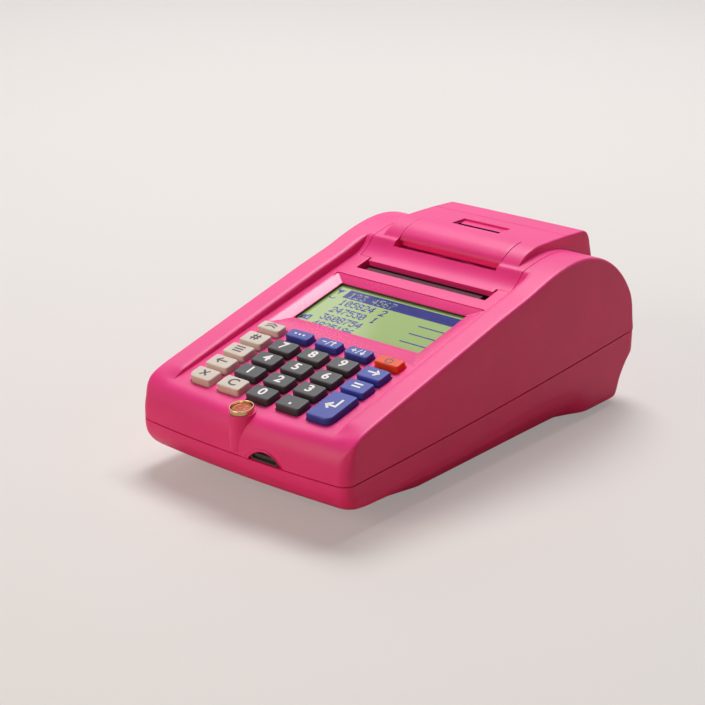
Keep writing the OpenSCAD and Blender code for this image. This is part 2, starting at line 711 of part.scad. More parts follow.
// ---- paper drive ----
// Involute gear outline: teeth, then the angle of one tooth's middle
function turned(p, a) = [p[0] * cos(a) - p[1] * sin(a), p[0] * sin(a) + p[1] * cos(a)];
function involute(rb, t) = rb * [cos(t) + t * PI / 180 * sin(t), sin(t) - t * PI / 180 * cos(t)];
function gear_outline(teeth, phase) = let (
        rp = gear_m * teeth / 2, rb = rp * cos(20), ra = rp + gear_m, rf = rp - 1.3 * gear_m,
        at = function (r) r <= rb ? 0 : sqrt(r * r / (rb * rb) - 1) * 180 / PI,
        inv = function (r) at(r) - acos(min(1, rb / r)),
        half = 90 / teeth - 1.2 * 18 / teeth + inv(rp),
        rs = max(rf, rb), flank = [for (i = [0:3]) rs + (ra - rs) * i / 3])
    [for (k = [0:teeth - 1]) let (c = phase + 360 * k / teeth) each concat(
        rf < rb ? [rf * [cos(c - half), sin(c - half)]] : [],
        [for (r = flank) r * [cos(c - half + inv(r)), sin(c - half + inv(r))]],
        [for (i = [3:-1:0]) let (r = flank[i]) r * [cos(c + half - inv(r)), sin(c + half - inv(r))]],
        rf < rb ? [rf * [cos(c + half), sin(c + half)]] : [])];
module gear(teeth, phase, bore) {
    linear_extrude(gear_w) difference() {
        polygon(gear_outline(teeth, phase));
        circle(r = bore, $fn = 32);
    }
}
module gear_at(teeth, phase, bore, c) {
    translate([gear_x, c[0], c[1]]) rotate([90, 0, 90]) gear(teeth, phase, bore);
}
// A tooth of the platen gear points at the idler, which meets it with a gap, and so on down the train
idler_phase = idler_dir - 180 + 180 / idler_teeth;
idler_steps = (pinion_dir - idler_phase) * idler_teeth / 360;
pinion_phase = pinion_dir - 180 + 180 / pinion_teeth + (idler_steps - floor(idler_steps)) * 360 / pinion_teeth;

module platen_roller() {
    color(black) difference() {
        rod_x(-roller_half, roller_half, platen_r, platen);
        rod_x(-roller_half - 1, roller_half + 1, platen_shaft_r, platen);
    }
}
module platen_shaft() {
    color(steel) rod_x(-plate_x - 2.4, gear_x + gear_w + 0.4, platen_shaft_r, platen);
}
module platen_gear() {
    color([0.9, 0.9, 0.86]) gear_at(platen_teeth, idler_dir, platen_shaft_r, platen);
}
module platen_bushes() {
    color([0.3, 0.3, 0.32]) both_sides() difference() {
        union() {
            rod_x(plate_x, plate_x + 2, 2.5, platen);
            rod_x(plate_x - 0.8, plate_x, 3, platen);
        }
        rod_x(plate_x - 1, plate_x + 3, platen_shaft_r + fit, platen);
    }
}
module idler_gear() {
    color([0.9, 0.9, 0.86]) gear_at(idler_teeth, idler_phase, stub_r + fit, idler);
}
module motor_pinion() {
    color(steel) union() {
        gear_at(pinion_teeth, pinion_phase, shaft_r - 0.1, pinion);
        rod_x(gear_x - 8, gear_x + gear_w, shaft_r, pinion);
    }
}
module feed_motor() {
    color([0.5, 0.51, 0.53]) difference() {
        rod_x(plate_x - 18, plate_x, motor_r, pinion);
        rod_x(gear_x - 9, plate_x + 1, shaft_r + fit, pinion);
    }
}
module print_head() {
    color([0.12, 0.12, 0.13]) union() {
        block(-roller_half + 2, roller_half - 2, head_y - head_t, head_y, head_z, platen[1] + 3.2);
        rod_x(-plate_x - plate_t, plate_x + plate_t, 0.8, [head_y - head_t / 2, head_z + 0.8]);
    }
}
module head_spring() {
    color(steel) block(-15, 15, head_y - head_t - 1.2, head_y - head_t - 0.8, head_z + 1, head_z + 7.5);
}
module printer_frame() {
    color(steel) union() {
        block(-plate_x - plate_t, plate_x + plate_t, pinion[0] - 3.5, platen[0] + 0.5, frame_z, frame_z + 1.4);
        both_sides() difference() {
            block(plate_x, plate_x + plate_t, pinion[0] - 3.5, platen[0] + 0.5, frame_z, platen[1] - 4);
            rod_x(plate_x - 1, plate_x + 3, shaft_r + 1.2, pinion);
            rod_x(plate_x - 1, plate_x + 3, 0.8 + fit, [head_y - head_t / 2, head_z + 0.8]);
        }
        rod_x(plate_x + 0.5, gear_x + gear_w + 0.5, stub_r, idler);
        rod_x(plate_x + 0.5, gear_x - 0.3, stub_r + 1, idler);
        block(-plate_x - 0.5, plate_x + 0.5, head_y - head_t - 3.4, head_y - head_t - 1.2, head_z + 0.4, head_z + 3.2);
    }
}
module paper_well() {
    color([0.16, 0.16, 0.17]) difference() {
        union() {
            rod_x(-well_half - well_wall, well_half + well_wall, well_r + well_wall, well);
            block(-well_half - well_wall, well_half + well_wall, well[0] - well_r - well_wall,
                well[0] + well_r + well_wall, well[1], well[1] + 5);
        }
        rod_x(-well_half, well_half, well_r, well);
        block(-well_half, well_half, well[0] - well_r, well[0] + well_r, well[1], far);
        block(-far, far, -far, far, well[1] + 5, far);
    }
}
module tear_bar() {
    x1 = roller_half + 0.2;
    teeth = 39;
    z0 = panel_z(slot_y);
    color([0.25, 0.26, 0.28]) translate([0, slot_y + 0.9, 0]) rotate([90, 0, 0]) linear_extrude(0.9) polygon(concat(
        [[-x1, z0 - 3.4]], [[-x1, z0 - 0.2]],
        [for (i = [0:2 * teeth]) [-x1 + i * x1 / teeth, z0 + (i % 2 == 0 ? -0.2 : 0.8)]], [[x1, z0 - 3.4]]));
}

// ---- boards, battery, fasteners ----
module main_board() {
    color(board_green) difference() {
        union() {
            block(-board_half, board_half, board_y0, board_y1, board_z, board_z + board_t);
            block(6, 20, -24, -10, board_z + board_t, board_z + board_t + 1.4);
            block(-30, -18, 0, 5, board_z + board_t, board_z + board_t + 5);
            block(22, 33, -20, -14, board_z + board_t, board_z + board_t + 6);
        }
        for (p = board_posts) post(p[0], p[1], board_z - 1, board_z + board_t + 1, 0.8);
    }
}
module fiscal_module() {
    color([0.1, 0.1, 0.11]) union() {
        block(-29, -7, -27, -7, board_z + board_t, board_z + board_t + 1.2);
        block(-27, -9, -25, -9, board_z + board_t + 1.2, board_z + board_t + 6);
    }
}
module buzzer() {
    color(black) translate([board_half - 8, board_y1 - 10, board_z + board_t]) difference() {
        cylinder(r = 5, h = 5);
        translate([0, 0, 3]) cylinder(r = 1, h = 3);
    }
}
module battery_pack() {
    color([0.18, 0.35, 0.62]) union() {
        for (c = cells) rod_x(-cell_half, cell_half, cell_r, c);
        block(-cell_half + 2, cell_half - 2, cells[0][0], cells[1][0], cells[0][1] - cell_r + 0.2, cells[0][1]);
    }
}
module battery_door() {
    color(pink) difference() {
        union() {
            intersection() {
                difference() {
                    form(0);
                    form(wall);
                }
                block(-door_half + door_gap, door_half - door_gap, door_y0 + door_gap, door_y1 - door_gap, 0, 9.5);
            }
            both_sides() {
                block(12, 22, door_y1 - 5, door_y1 - 0.5, floor_z + wall - 0.2, floor_z + wall + 1.7);
                block(12, 22, door_y1 - 5, door_y1 + 3, floor_z + wall + 0.1, floor_z + wall + 1.7);
            }
        }
        post(0, door_screw_y, 0, 12, 1.3);
        post(0, door_screw_y, 0, door_head_z + 1, 2.5);
    }
}
door_head_z = 7.2;
module door_screw() {
    color(steel) difference() {
        union() {
            post(0, door_screw_y, door_head_z - 0.2, door_head_z + 1, 2.3);
            post(0, door_screw_y, door_head_z + 1, 12.4, 0.9);
        }
        block(-1.6, 1.6, door_screw_y - 0.3, door_screw_y + 0.3, 0, door_head_z + 0.4);
        block(-0.3, 0.3, door_screw_y - 1.6, door_screw_y + 1.6, 0, door_head_z + 0.4);
    }
}
module case_screws() {
    color(steel) both_sides() for (s = [front_screw, rear_screw]) difference() {
        union() {
            post(s[0], s[1], screw_seat_z - 2, screw_seat_z, head_r);
            post(s[0], s[1], screw_seat_z, seam_z(s[1]), screw_r);
            post(s[0], s[1], screw_seat_z, seam_z(s[1]) + 8, 1.1);
        }
        block(s[0] - 1.8, s[0] + 1.8, s[1] - 0.4, s[1] + 0.4, 0, screw_seat_z - 1);
        block(s[0] - 0.4, s[0] + 0.4, s[1] - 1.8, s[1] + 1.8, 0, screw_seat_z - 1);
    }
}
module feet() {
    color(black) for (p = foot_places) post(p[0], p[1], 0, floor_z + foot_seat, foot_r);
}

base_shell();
top_shell();
cover();
hood_flap();
customer_window();
customer_display();
hinge_pins();
lens();
lcd_module();
key_feed();
key_function();
key_minus();
key_plus();
key_power();
key_item();
key_7();
key_8();
key_9();
key_payment();
key_department();
key_4();
key_5();
key_6();
key_subtotal();
key_void();
key_1();
key_2();
key_3();
key_quantity();
key_clear();
key_0();
key_point();
key_total();
key_mat();
key_board();
seal_cup();
seal();
port_board();
usb_socket();
tear_bar();
platen_roller();
platen_shaft();
platen_gear();
platen_bushes();
idler_gear();
motor_pinion();
feed_motor();
print_head();
head_spring();
printer_frame();
paper_well();
main_board();
fiscal_module();
buzzer();
battery_pack();
battery_door();
door_screw();
case_screws();
feet();
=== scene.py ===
import json
import math

import bmesh
import bpy
import numpy as np
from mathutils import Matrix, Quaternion, Vector


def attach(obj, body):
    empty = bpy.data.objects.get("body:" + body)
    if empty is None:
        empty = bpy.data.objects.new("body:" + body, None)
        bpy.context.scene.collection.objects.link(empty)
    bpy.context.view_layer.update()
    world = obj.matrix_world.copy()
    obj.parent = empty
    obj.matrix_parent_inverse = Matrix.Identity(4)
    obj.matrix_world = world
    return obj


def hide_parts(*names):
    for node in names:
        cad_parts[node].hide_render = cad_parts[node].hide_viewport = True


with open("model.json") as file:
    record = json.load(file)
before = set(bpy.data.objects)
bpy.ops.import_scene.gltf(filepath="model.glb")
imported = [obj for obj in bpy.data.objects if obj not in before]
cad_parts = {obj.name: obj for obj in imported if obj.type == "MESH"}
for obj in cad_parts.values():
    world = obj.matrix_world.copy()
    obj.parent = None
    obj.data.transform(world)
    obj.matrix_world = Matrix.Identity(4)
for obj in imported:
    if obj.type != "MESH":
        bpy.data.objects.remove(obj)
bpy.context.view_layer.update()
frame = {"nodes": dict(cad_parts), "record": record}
print("frame loaded:", len(frame["nodes"]), "nodes")

# Lengths are millimetres until a mesh is made; x runs across, y from front to rear, z up.
mm = 0.001

case = dict(
    halfWidth=52.5, frontY=-95.1, rearY=95.7, bowRadius=514, bowHalf=47.5,
    frontCorner=5.0, rimEdge=1.3, rearCorner=4.0,                # radii of the outer edge
    panelZ=56.04, panelSlope=0.2351, panelHalf=41.4, rimStart=-110,
    rimHeight=3.8, rimFall=2.1, rimFallLength=80,
    hump=(50.2, 25.0), humpRadius=45.5, swellY=15.0, swellLead=8, swellReach=14.7,
    seamZ=20.0, seamRise=10.3, seamBow=0.45, seamGap=0.3,
    nose=((0, 23), (0, 35.5), (9, 39.2), (28, 44.5)), noseSlope=0.6,
    scoop=((20.0, 60.74), (26.5, 62.3), (29.8, 66.8)), scoopStart=12, scoopBlend=0.9)
panelTilt = math.atan(case["panelSlope"])
firstRow = (-79.0, 37.47)        # y and z of the lowest key row's middle on the panel


# small sums on arrays
def bezier(points, count):
    # cubic Bezier: each corner point weighted by its Bernstein term
    t = np.linspace(0, 1, count)[:, None]
    a, b, c, d = (np.array(p, float) for p in points)
    return (1 - t) ** 3 * a + 3 * t * (1 - t) ** 2 * b + 3 * t ** 2 * (1 - t) * c + t ** 3 * d


def smoothMin(a, b, k):
    # the lower of two heights, rounded over a width k where they cross
    h = np.clip(0.5 + 0.5 * (b - a) / k, 0, 1)
    return b + (a - b) * h - k * h * (1 - h)


def ease(t):
    # smooth step: 3t^2 - 2t^3 between 0 and 1
    t = np.clip(t, 0, 1)
    return t * t * (3 - 2 * t)


def through(points, count):
    # a smooth curve through points: Catmull-Rom spans, each with tangents from its neighbours
    p = np.array(points, float)
    p = np.vstack([2 * p[0] - p[1], p, 2 * p[-1] - p[-2]])
    u = np.linspace(0, len(points) - 1, count)
    i = np.minimum(u.astype(int), len(points) - 2)
    t = (u - i)[:, None]
    a, b, c, d = p[i], p[i + 1], p[i + 2], p[i + 3]
    square, cube = 2 * a - 5 * b + 4 * c - d, 3 * b - 3 * c + d - a
    return 0.5 * (2 * b + (c - a) * t + square * t ** 2 + cube * t ** 3)


def steps(a, b, count):
    # equal steps from a to b, without a itself
    return np.linspace(a, b, count + 1)[1:]


def unit(v):
    v = np.asarray(v, float)
    return v / np.maximum(np.linalg.norm(v, axis=-1, keepdims=True), 1e-9)


def nearest(values, wanted):
    return int(np.argmin(np.abs(values - wanted)))


def panelHeight(y):
    return case["panelZ"] + case["panelSlope"] * y


def seamHeight(y):
    # the seam rises to the rear, partly straight and partly as a square
    s = (y - case["frontY"]) / (case["rearY"] - case["frontY"])
    return case["seamZ"] + case["seamRise"] * (case["seamBow"] * s + (1 - case["seamBow"]) * s * s)


def onPanel(x, s, n):
    # panel coordinates to space: x across, s up the slope, n out of the panel
    x, s, n = np.broadcast_arrays(np.asarray(x, float), np.asarray(s, float), np.asarray(n, float))
    c, d = math.cos(panelTilt), math.sin(panelTilt)
    return np.stack([x, firstRow[0] + s * c - n * d, firstRow[1] + s * d + n * c], -1)


# meshes
class Skin:
    # gathers grids of points into one mesh
    def __init__(self):
        self.points, self.faces, self.slots, self.count = [], [], [], 0

    def add(self, points, quads, slot):
        self.points.append(points)
        self.faces.append(quads + self.count)
        self.slots.append(np.full(len(quads), slot))
        self.count += len(points)

    def grid(self, p, keep=None, closed=False, slot=0, flip=False):
        # p[row, column] is a point; each cell of four becomes a face whose normal is column x row
        p = np.asarray(p, float)
        rows, cols = p.shape[:2]
        index = np.arange(rows * cols).reshape(rows, cols)
        if closed:
            index = np.hstack([index, index[:, :1]])
        quads = np.stack([index[:-1, :-1], index[:-1, 1:], index[1:, 1:], index[1:, :-1]], -1)
        if keep is not None:
            quads = quads[keep]
        quads = quads.reshape(-1, 4)
        self.add(p.reshape(-1, 3), quads[:, ::-1] if flip else quads, slot)

    def polygons(self, points, faces, slot=0):
        # loose faces of any size; each is cut into a fan of triangles with a repeated corner
        quads = [[f[0], f[i], f[i + 1], f[i + 1]] for f in faces for i in range(1, len(f) - 1)]
        self.add(np.asarray(points, float).reshape(-1, 3), np.array(quads), slot)

    def rings(self, loops, slot=0, flip=False, cap=False):
        # closed loops of equal length, joined one to the next; cap closes the last one on its middle
        loops = [np.asarray(l, float) for l in loops]
        if cap:
            middle = loops[-1].mean(0)
            loops += [middle + (loops[-1] - middle) * 0.5, np.repeat(middle[None], len(loops[-1]), 0)]
        self.grid(np.stack(loops), closed=True, slot=slot, flip=flip)

    def piece(self, name, materials, body, replaced, slotName, sharp=32):
        # merged points, smooth faces with sharp edges above an angle, and its place in the frame
        points = np.vstack(self.points) * mm
        faces = [f[:3] if f[2] == f[3] else f for f in np.vstack(self.faces).tolist()]
        mesh = bpy.data.meshes.new(name)
        mesh.from_pydata(points.tolist(), [], faces)
        mesh.polygons.foreach_set("material_index", np.concatenate(self.slots).astype(np.int32))
        work = bmesh.new()
        work.from_mesh(mesh)
        bmesh.ops.remove_doubles(work, verts=work.verts, dist=2e-6)
        bmesh.ops.dissolve_degenerate(work, edges=work.edges, dist=1e-7)
        work.to_mesh(mesh)
        work.free()
        mesh.polygons.foreach_set("use_smooth", np.ones(len(mesh.polygons), bool))
        mesh.set_sharp_from_angle(angle=math.radians(sharp))
        for m in materials:
            mesh.materials.append(m)
        thing = addObject(name, mesh)
        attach(thing, body)
        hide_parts(*replaced)


def addObject(name, data):
    thing = bpy.data.objects.new(name, data)
    bpy.context.scene.collection.objects.link(thing)
    return thing


def gridNormals(p):
    # surface normals of a grid of points from the differences along its rows and columns
    return unit(np.cross(np.gradient(p, axis=1), np.gradient(p, axis=0)))


def blockBorder(grid, r0, r1, c0, c1):
    # once round a block of a grid: along row r0, down column c1, back along row r1, up column c0
    return np.concatenate([grid[r0, c0:c1], grid[r0:r1, c1], grid[r1, c1:c0:-1], grid[r1:r0:-1, c0]])


def sideways(border, facing, sign=1):
    # steps off a closed line and in its surface: the normal crossed with the line's direction,
    # averaged with the neighbour's and made longer at corners, so that both sides move alike
    turn = sign * unit(np.cross(facing, unit(np.roll(border, -1, 0) - border)))
    into = turn + np.roll(turn, 1, 0)
    return into / np.maximum((into * turn).sum(-1, keepdims=True), 0.3)


def roll(edge, normal, into, radius, depth):
    # an edge rolled over by a quarter circle of that radius, then run down by depth;
    # into points from the surface into the opening, normal out of the surface
    a = np.linspace(0, math.pi / 2, 5)[:, None, None]
    turn = edge[None] + into[None] * radius * np.sin(a) - normal[None] * radius * (1 - np.cos(a))
    return np.concatenate([turn, turn[-1:] - normal[None] * depth])


def roundedLoop(cols, rows, low, high, radii, grow=0.0):
    # once round a rectangle with round corners: bottom, right, top, left, close together near the corners;
    # the position along a side is a half cosine wave, and near a corner it is pushed onto the arc
    side = np.repeat([0, 1, 2, 3], [cols, rows, cols, rows])
    v = np.concatenate([np.arange(n) / n for n in (cols, rows, cols, rows)])
    v = 0.5 - 0.5 * np.cos(math.pi * v)
    x0, y0, x1, y1 = low[0] - grow, low[1] - grow, high[0] + grow, high[1] + grow
    x = np.choose(side, [x0 + (x1 - x0) * v, x1 + 0 * v, x1 - (x1 - x0) * v, x0 + 0 * v])
    y = np.choose(side, [y0 + 0 * v, y0 + (y1 - y0) * v, y1 + 0 * v, y1 - (y1 - y0) * v])
    corners = ((x0, y0, 1, 1), (x1, y0, -1, 1), (x1, y1, -1, -1), (x0, y1, 1, -1))
    for (cx, cy, sx, sy), r in zip(corners, np.broadcast_to(radii, 4)):
        r = r + grow
        ax, ay = cx + sx * r, cy + sy * r
        near = ((x - ax) * sx < 0) & ((y - ay) * sy < 0)
        d = np.hypot(x - ax, y - ay)
        x = np.where(near, ax + (x - ax) * r / np.maximum(d, 1e-9), x)
        y = np.where(near, ay + (y - ay) * r / np.maximum(d, 1e-9), y)
    return x, y


def panelLoop(cols, rows, low, high, radii, grow, n):
    # the rounded rectangle laid on the panel, n above it
    x, s = roundedLoop(cols, rows, low, high, radii, grow)
    return onPanel(x, s, n)


# upper shell
keypad = dict(xs=(-38.0, -22.5, -7.5, 7.5, 22.5, 38.0), s0=-4.84, pitch=9.68, columnPitch=15.0, top=42.5)
display = dict(half=38.0, s0=42.5, s1=88.7, window=31.9, w0=53.3, w1=83.9, depth=1.6, step=0.3)
slot = dict(half=33.6, y0=13.1, middle=20.0)
bay = dict(half=38.8, y0=21.9, angle=29.8, tailAngle=7.0, edge=0.14, wall=1.7, floor=40.0,
           rear=87.0, pocket=(88.39, 45.3), rearFoot=(84, 90.6))
stepWall = dict(foot=41.4, lean=0.12, radius=2.3, rise=1.35, steepest=0.42, rim=44.3)
blend = dict(bow=5, across=9.0, rimStart=-86.0, rim=7.0, reach=32, nose=1.4, foot=3)
edgeFade = dict(front=36.5, frontSpan=8, back=48, backSpan=14, backStart=60)
shellRows = dict(footZ=(20.3, 20.6, 21.2, 21.9, 22.5, 23.0), noseEnd=0.643, nose=26, key=10, display=30,
                 slot=(3, 6, 3), scoop=14, hump=16, arc=25, tail=13)


def rimLine(y):
    return np.stack([y, panelHeight(y) + case["rimHeight"]], -1)


def outlinePath():
    # side outline from the straight rim over the swell and the hump: y and z
    hy, hz = case["hump"]
    top, y0 = hz + case["humpRadius"], case["swellY"]
    corners = [rimLine(y0), rimLine(y0 + case["swellLead"]), [hy - case["swellReach"], top], [hy, top]]
    return np.vstack([rimLine(np.linspace(case["rimStart"], y0 - 1, 40)), bezier(corners, 40)])


outline = outlinePath()
noseCurve = bezier(case["nose"], 200)


def outlineHeight(y):
    return np.interp(y, outline[:, 0], outline[:, 1])


def humpPoint(angle):
    a = np.radians(angle)
    return case["hump"][0] + case["humpRadius"] * np.cos(a), case["hump"][1] + case["humpRadius"] * np.sin(a)


def scoopHeight(y):
    # the panel, then a quadratic curve from the lip up to the knee and straight on
    a, b, c = (np.array(p) for p in case["scoop"])
    t = np.linspace(0, 1, 40)[:, None]
    curve = (1 - t) ** 2 * a + 2 * t * (1 - t) * b + t ** 2 * c
    slope = (c - b)[1] / (c - b)[0]
    rising = np.where(y > c[0], c[1] + (y - c[0]) * slope, np.interp(y, curve[:, 0], curve[:, 1]))
    return np.where(y < a[0], panelHeight(y), rising)


def wingHeight(y):
    return smoothMin(scoopHeight(y), outlineHeight(y), case["scoopBlend"])


def innerHeight(y):
    return np.where(y < case["scoopStart"], panelHeight(y), wingHeight(y))


def rimDrop(y):
    # the rims sink towards the front
    return case["rimFall"] * np.clip(-y / case["rimFallLength"], 0, 1.12)


def wallShare(ax, height):
    # how far up the wall a point lies: a crease at its foot, then a quarter ellipse at its top
    r = np.minimum(stepWall["rise"], stepWall["steepest"] * height)
    x0 = stepWall["foot"] + stepWall["lean"]
    t = np.clip((ax - x0) / stepWall["radius"], 0, 1)
    top = 1 - r / height * (1 - np.sqrt(np.maximum(0, 1 - (1 - t) ** 2)))
    rise = np.clip((ax - stepWall["foot"]) / stepWall["lean"], 0, 1)
    return np.where(ax <= x0, rise * (1 - r / height), top)


def noseHeight(f):
    # height over the distance f behind the front: the nose curve, then straight on
    end = case["nose"][-1][0]
    z = np.interp(f, noseCurve[:, 0], noseCurve[:, 1])
    return np.where(f > end, noseCurve[-1, 1] + (f - end) * case["noseSlope"], z)


def bow(x):
    # the front is an arc of radius r in plan: x^2 / 2r
    return np.minimum(np.abs(x), case["bowHalf"]) ** 2 / (2 * case["bowRadius"])


def panelY(s):
    return firstRow[0] + s * math.cos(panelTilt)


class Rows:
    # the upper shell's rows from the front seam to the rear seam
    def __init__(self):
        n = shellRows
        t = np.linspace(0, n["noseEnd"], n["nose"])[1:]
        self.f = np.concatenate([np.zeros(len(n["footZ"])), 27 * t ** 2 + t ** 3])
        self.z = np.concatenate([n["footZ"], np.interp(t, np.linspace(0, 1, 200), noseCurve[:, 1])])
        self.noseRows = len(self.f)
        cellS = keypad["s0"] + keypad["pitch"] * np.arange(6)
        cellS[5] = keypad["top"]
        parts = [panelY(steps(a, b, n["key"])) for a, b in zip(cellS[:-1], cellS[1:])]
        self.cellRow = self.noseRows - 1 + n["key"] * np.arange(6)
        parts.append(panelY(steps(display["s0"], display["s1"], n["display"])))
        self.lcdEnd = self.cellRow[5] + n["display"]
        stops = (parts[-1][-1], slot["y0"], slot["middle"], bay["y0"], case["scoop"][2][0], case["hump"][0])
        counts = (*n["slot"], n["scoop"], n["hump"])
        parts += [steps(a, b, count) for a, b, count in zip(stops[:-1], stops[1:], counts)]
        self.slotRow = self.lcdEnd + n["slot"][0]
        self.bayRow = self.lcdEnd + sum(n["slot"])
        self.y = np.concatenate(parts)
        middle = bay["angle"]
        angles = np.concatenate([steps(90, middle, n["arc"]), steps(middle, bay["tailAngle"], n["tail"])])
        self.bayEnd = self.noseRows + len(self.y) + n["arc"] - 1
        self.arc = np.array(humpPoint(angles)).T
        self.count = self.noseRows + len(self.y) + len(self.arc)


rows = Rows()


def shellPoint(x):
    # x[row, column] to space: nose rows lie back from the bowed front, the others at a fixed y
    y = np.zeros_like(x)
    z = np.zeros_like(x)
    n, m = rows.noseRows, rows.noseRows + len(rows.y)
    f = rows.f[:, None]
    weight = 1 - ease((f - blend["bow"]) / (rows.f[-1] - blend["bow"]))
    y[:n] = case["frontY"] + f + bow(x[:n]) * weight
    y[n:m] = rows.y[:, None]
    y[m:] = rows.arc[:, 0][:, None]
    z[m:] = rows.arc[:, 1][:, None]
    # behind the nose: rim, wall and panel
    ax = np.abs(x[:m])
    across = np.clip((ax - case["panelHalf"]) / blend["across"], 0, 1)
    inner = innerHeight(y[:m])
    drop = rimDrop(y[:m])
    fade = (case["rimHeight"] - drop) * (1 - ease((y[:m] - blend["rimStart"]) / blend["rim"]))
    rim = outlineHeight(y[:m]) - drop - fade * (1 - across)
    surface = inner + wallShare(ax, np.maximum(rim - inner, 0.05)) * (rim - inner)
    # the nose, over the distance behind the bowed front
    near = f - bow(x[:n]) * (1 - weight)
    far = y[n:m] - case["frontY"] - bow(x[n:m])
    nose = np.vstack([np.where(f <= blend["bow"], rows.z[:, None], noseHeight(near)), noseHeight(far)])
    blended = smoothMin(nose, surface, blend["nose"])
    z[:m] = np.where(np.vstack([near, far]) > blend["reach"], surface, blended)
    # follow the seam at the foot of the nose
    share = np.clip((case["nose"][0][1] - z[:n]) / blend["foot"], 0, 1)
    z[:n] += (seamHeight(y[:n]) - case["seamZ"]) * share
    return np.stack([x, y, z], -1)


def rowRadius(p):
    # radius of the outer edge: wide at the upright front and rear corners, small along the rims
    z, y = p[:, 2], p[:, 1]
    front = ease((edgeFade["front"] - z) / edgeFade["frontSpan"]) * (y < 0)
    back = ease((edgeFade["back"] - z) / edgeFade["backSpan"]) * (y > edgeFade["backStart"])
    return (case["rimEdge"] + (case["frontCorner"] - case["rimEdge"]) * front
            + (case["rearCorner"] - case["rimEdge"]) * back)


def topShellGrid():
    xs, half = keypad["xs"], display["half"]
    cells = [steps(a, b, 24 if i == 2 else 16) for i, (a, b) in enumerate(zip(xs[:-1], xs[1:]))]
    inside = np.concatenate([[-half], *cells])
    x0, r = stepWall["foot"] + stepWall["lean"], stepWall["radius"]
    arc = x0 + r * (1 - np.cos(np.radians([0, 15, 30, 45, 60, 75, 90])))
    step = np.concatenate([[38.4, bay["half"], 39.6, 40.4, 41.0, stepWall["foot"]], arc, [stepWall["rim"]]])
    radius = rowRadius(shellPoint(np.full((rows.count, 1), 50.0))[:, 0])
    rim = stepWall["rim"] + (case["halfWidth"] - radius - stepWall["rim"])[:, None] * steps(0, 1, 6)
    wide = [np.tile(part, (rows.count, 1)) for part in (-step[::-1], inside, step)]
    p = shellPoint(np.hstack([-rim[:, ::-1], *wide, rim]))
    # outer fillet: a quarter circle about the inset path, in the plane square to the path
    edge = p[:, -1]
    tangent = unit(np.gradient(edge[:, 1:], axis=0))
    inward = np.stack([np.zeros(rows.count), tangent[:, 1], -tangent[:, 0]], -1)
    a = np.linspace(0, math.pi / 2, 9)[None, 1:]
    r = radius[:, None]
    right = edge[:, None] + inward[:, None] * (r * (1 - np.cos(a)))[..., None]
    right[..., 0] = case["halfWidth"] - r + r * np.sin(a)
    left = right[:, ::-1] * np.array([-1, 1, 1])
    return np.concatenate([left, p, right], 1), left.shape[1] + rim.shape[1] + len(step), inside


def sideWall(top):
    # flat side below the fillet: each row's point joined to a matching one on the seam
    y = top[:, 1]
    g = 0.15 * np.arange(len(y)) / (len(y) - 1) + 0.85 * (y - y[0]) / (y[-1] - y[0])
    ys = y[0] + np.maximum.accumulate(g) * (y[-1] - y[0])
    low = np.stack([top[:, 0], ys, seamHeight(ys) + case["seamGap"]], -1)
    low[0], low[-1] = top[0], top[-1]
    t = np.linspace(0, 1, 7)[None, :, None]
    return top[:, None] * (1 - t) + low[:, None] * t


def seamLip(loop, up):
    # the shell's edge at the seam: a small round, then straight inwards; up is 1 for the upper shell
    hw, y0, y1 = case["halfWidth"], case["frontY"], case["rearY"]
    cx = np.clip(loop[:, 0], -hw + 7, hw - 7)
    cy = np.clip(loop[:, 1], y0 + 9, y1 - 9)
    inward = unit(np.stack([cx - loop[:, 0], cy - loop[:, 1], 0 * cx], -1))
    path = ((0.05, -0.04), (0.12, -0.06), (3.2, -0.06))
    return [loop + inward * inset + [0, 0, z * up] for inset, z in path]


keyHole = dict(fillet=0.35, wall=2.6)


def holePatch(skin, grid, block, hole):
    # one panel cell with a rounded hole: from the grid's own border to the rolled edge of the hole
    r0, r1, c0, c1 = block
    fillet = keyHole["fillet"]
    profile = [(fillet * 2.2, 0), (fillet * 1.05, 0)]
    for a in np.radians((22, 45, 67, 90)):
        profile.append((fillet * (1 - math.sin(a)), -fillet * (1 - math.cos(a))))
    profile.append((0, -keyHole["wall"]))
    loops = [panelLoop(c1 - c0, r1 - r0, *hole, grow, n) for grow, n in profile]
    skin.rings([blockBorder(grid, *block)] + loops)


# display recess: share of the way from the outer line to the window, height, corner radius
recess = dict(
    rings=((0, 0, 0.7), (0.004, -0.01, 0.7), (0.03, -0.012, 0.7), (0.07, -0.07, 0.68), (0.12, -0.15, 0.65),
           (0.97, -0.96 * display["depth"], 0.3), (0.99, -display["depth"], 0.3),
           (1, -display["depth"] - 0.06, 0.28), (1.0, -display["depth"] - 0.25, 0.25)),
    stepStart=0.001, stepEnd=0.9, polished=(5, 7))


def recessPatch(skin, grid, block):
    r0, r1, c0, c1 = block
    d = display
    outer = np.array([-d["half"] + 0.15, d["s0"] + 0.2, d["half"] - 0.15, d["s1"] - 0.15])
    inner = np.array([-d["window"], d["w0"], d["window"], d["w1"]])
    loops = [blockBorder(grid, *block)]
    for t, n, r in recess["rings"]:
        q = outer + (inner - outer) * t
        x, s = roundedLoop(c1 - c0, r1 - r0, q[:2], q[2:], r)
        step = d["step"] * (s > d["s1"] - 3) * (recess["stepStart"] < t < recess["stepEnd"])
        loops.append(onPanel(x, s, n - step))
    # the sloping sides are polished
    a, b = recess["polished"]
    skin.rings(loops[:a + 1])
    skin.rings(loops[a:b], slot=1)
    skin.rings(loops[b - 1:])


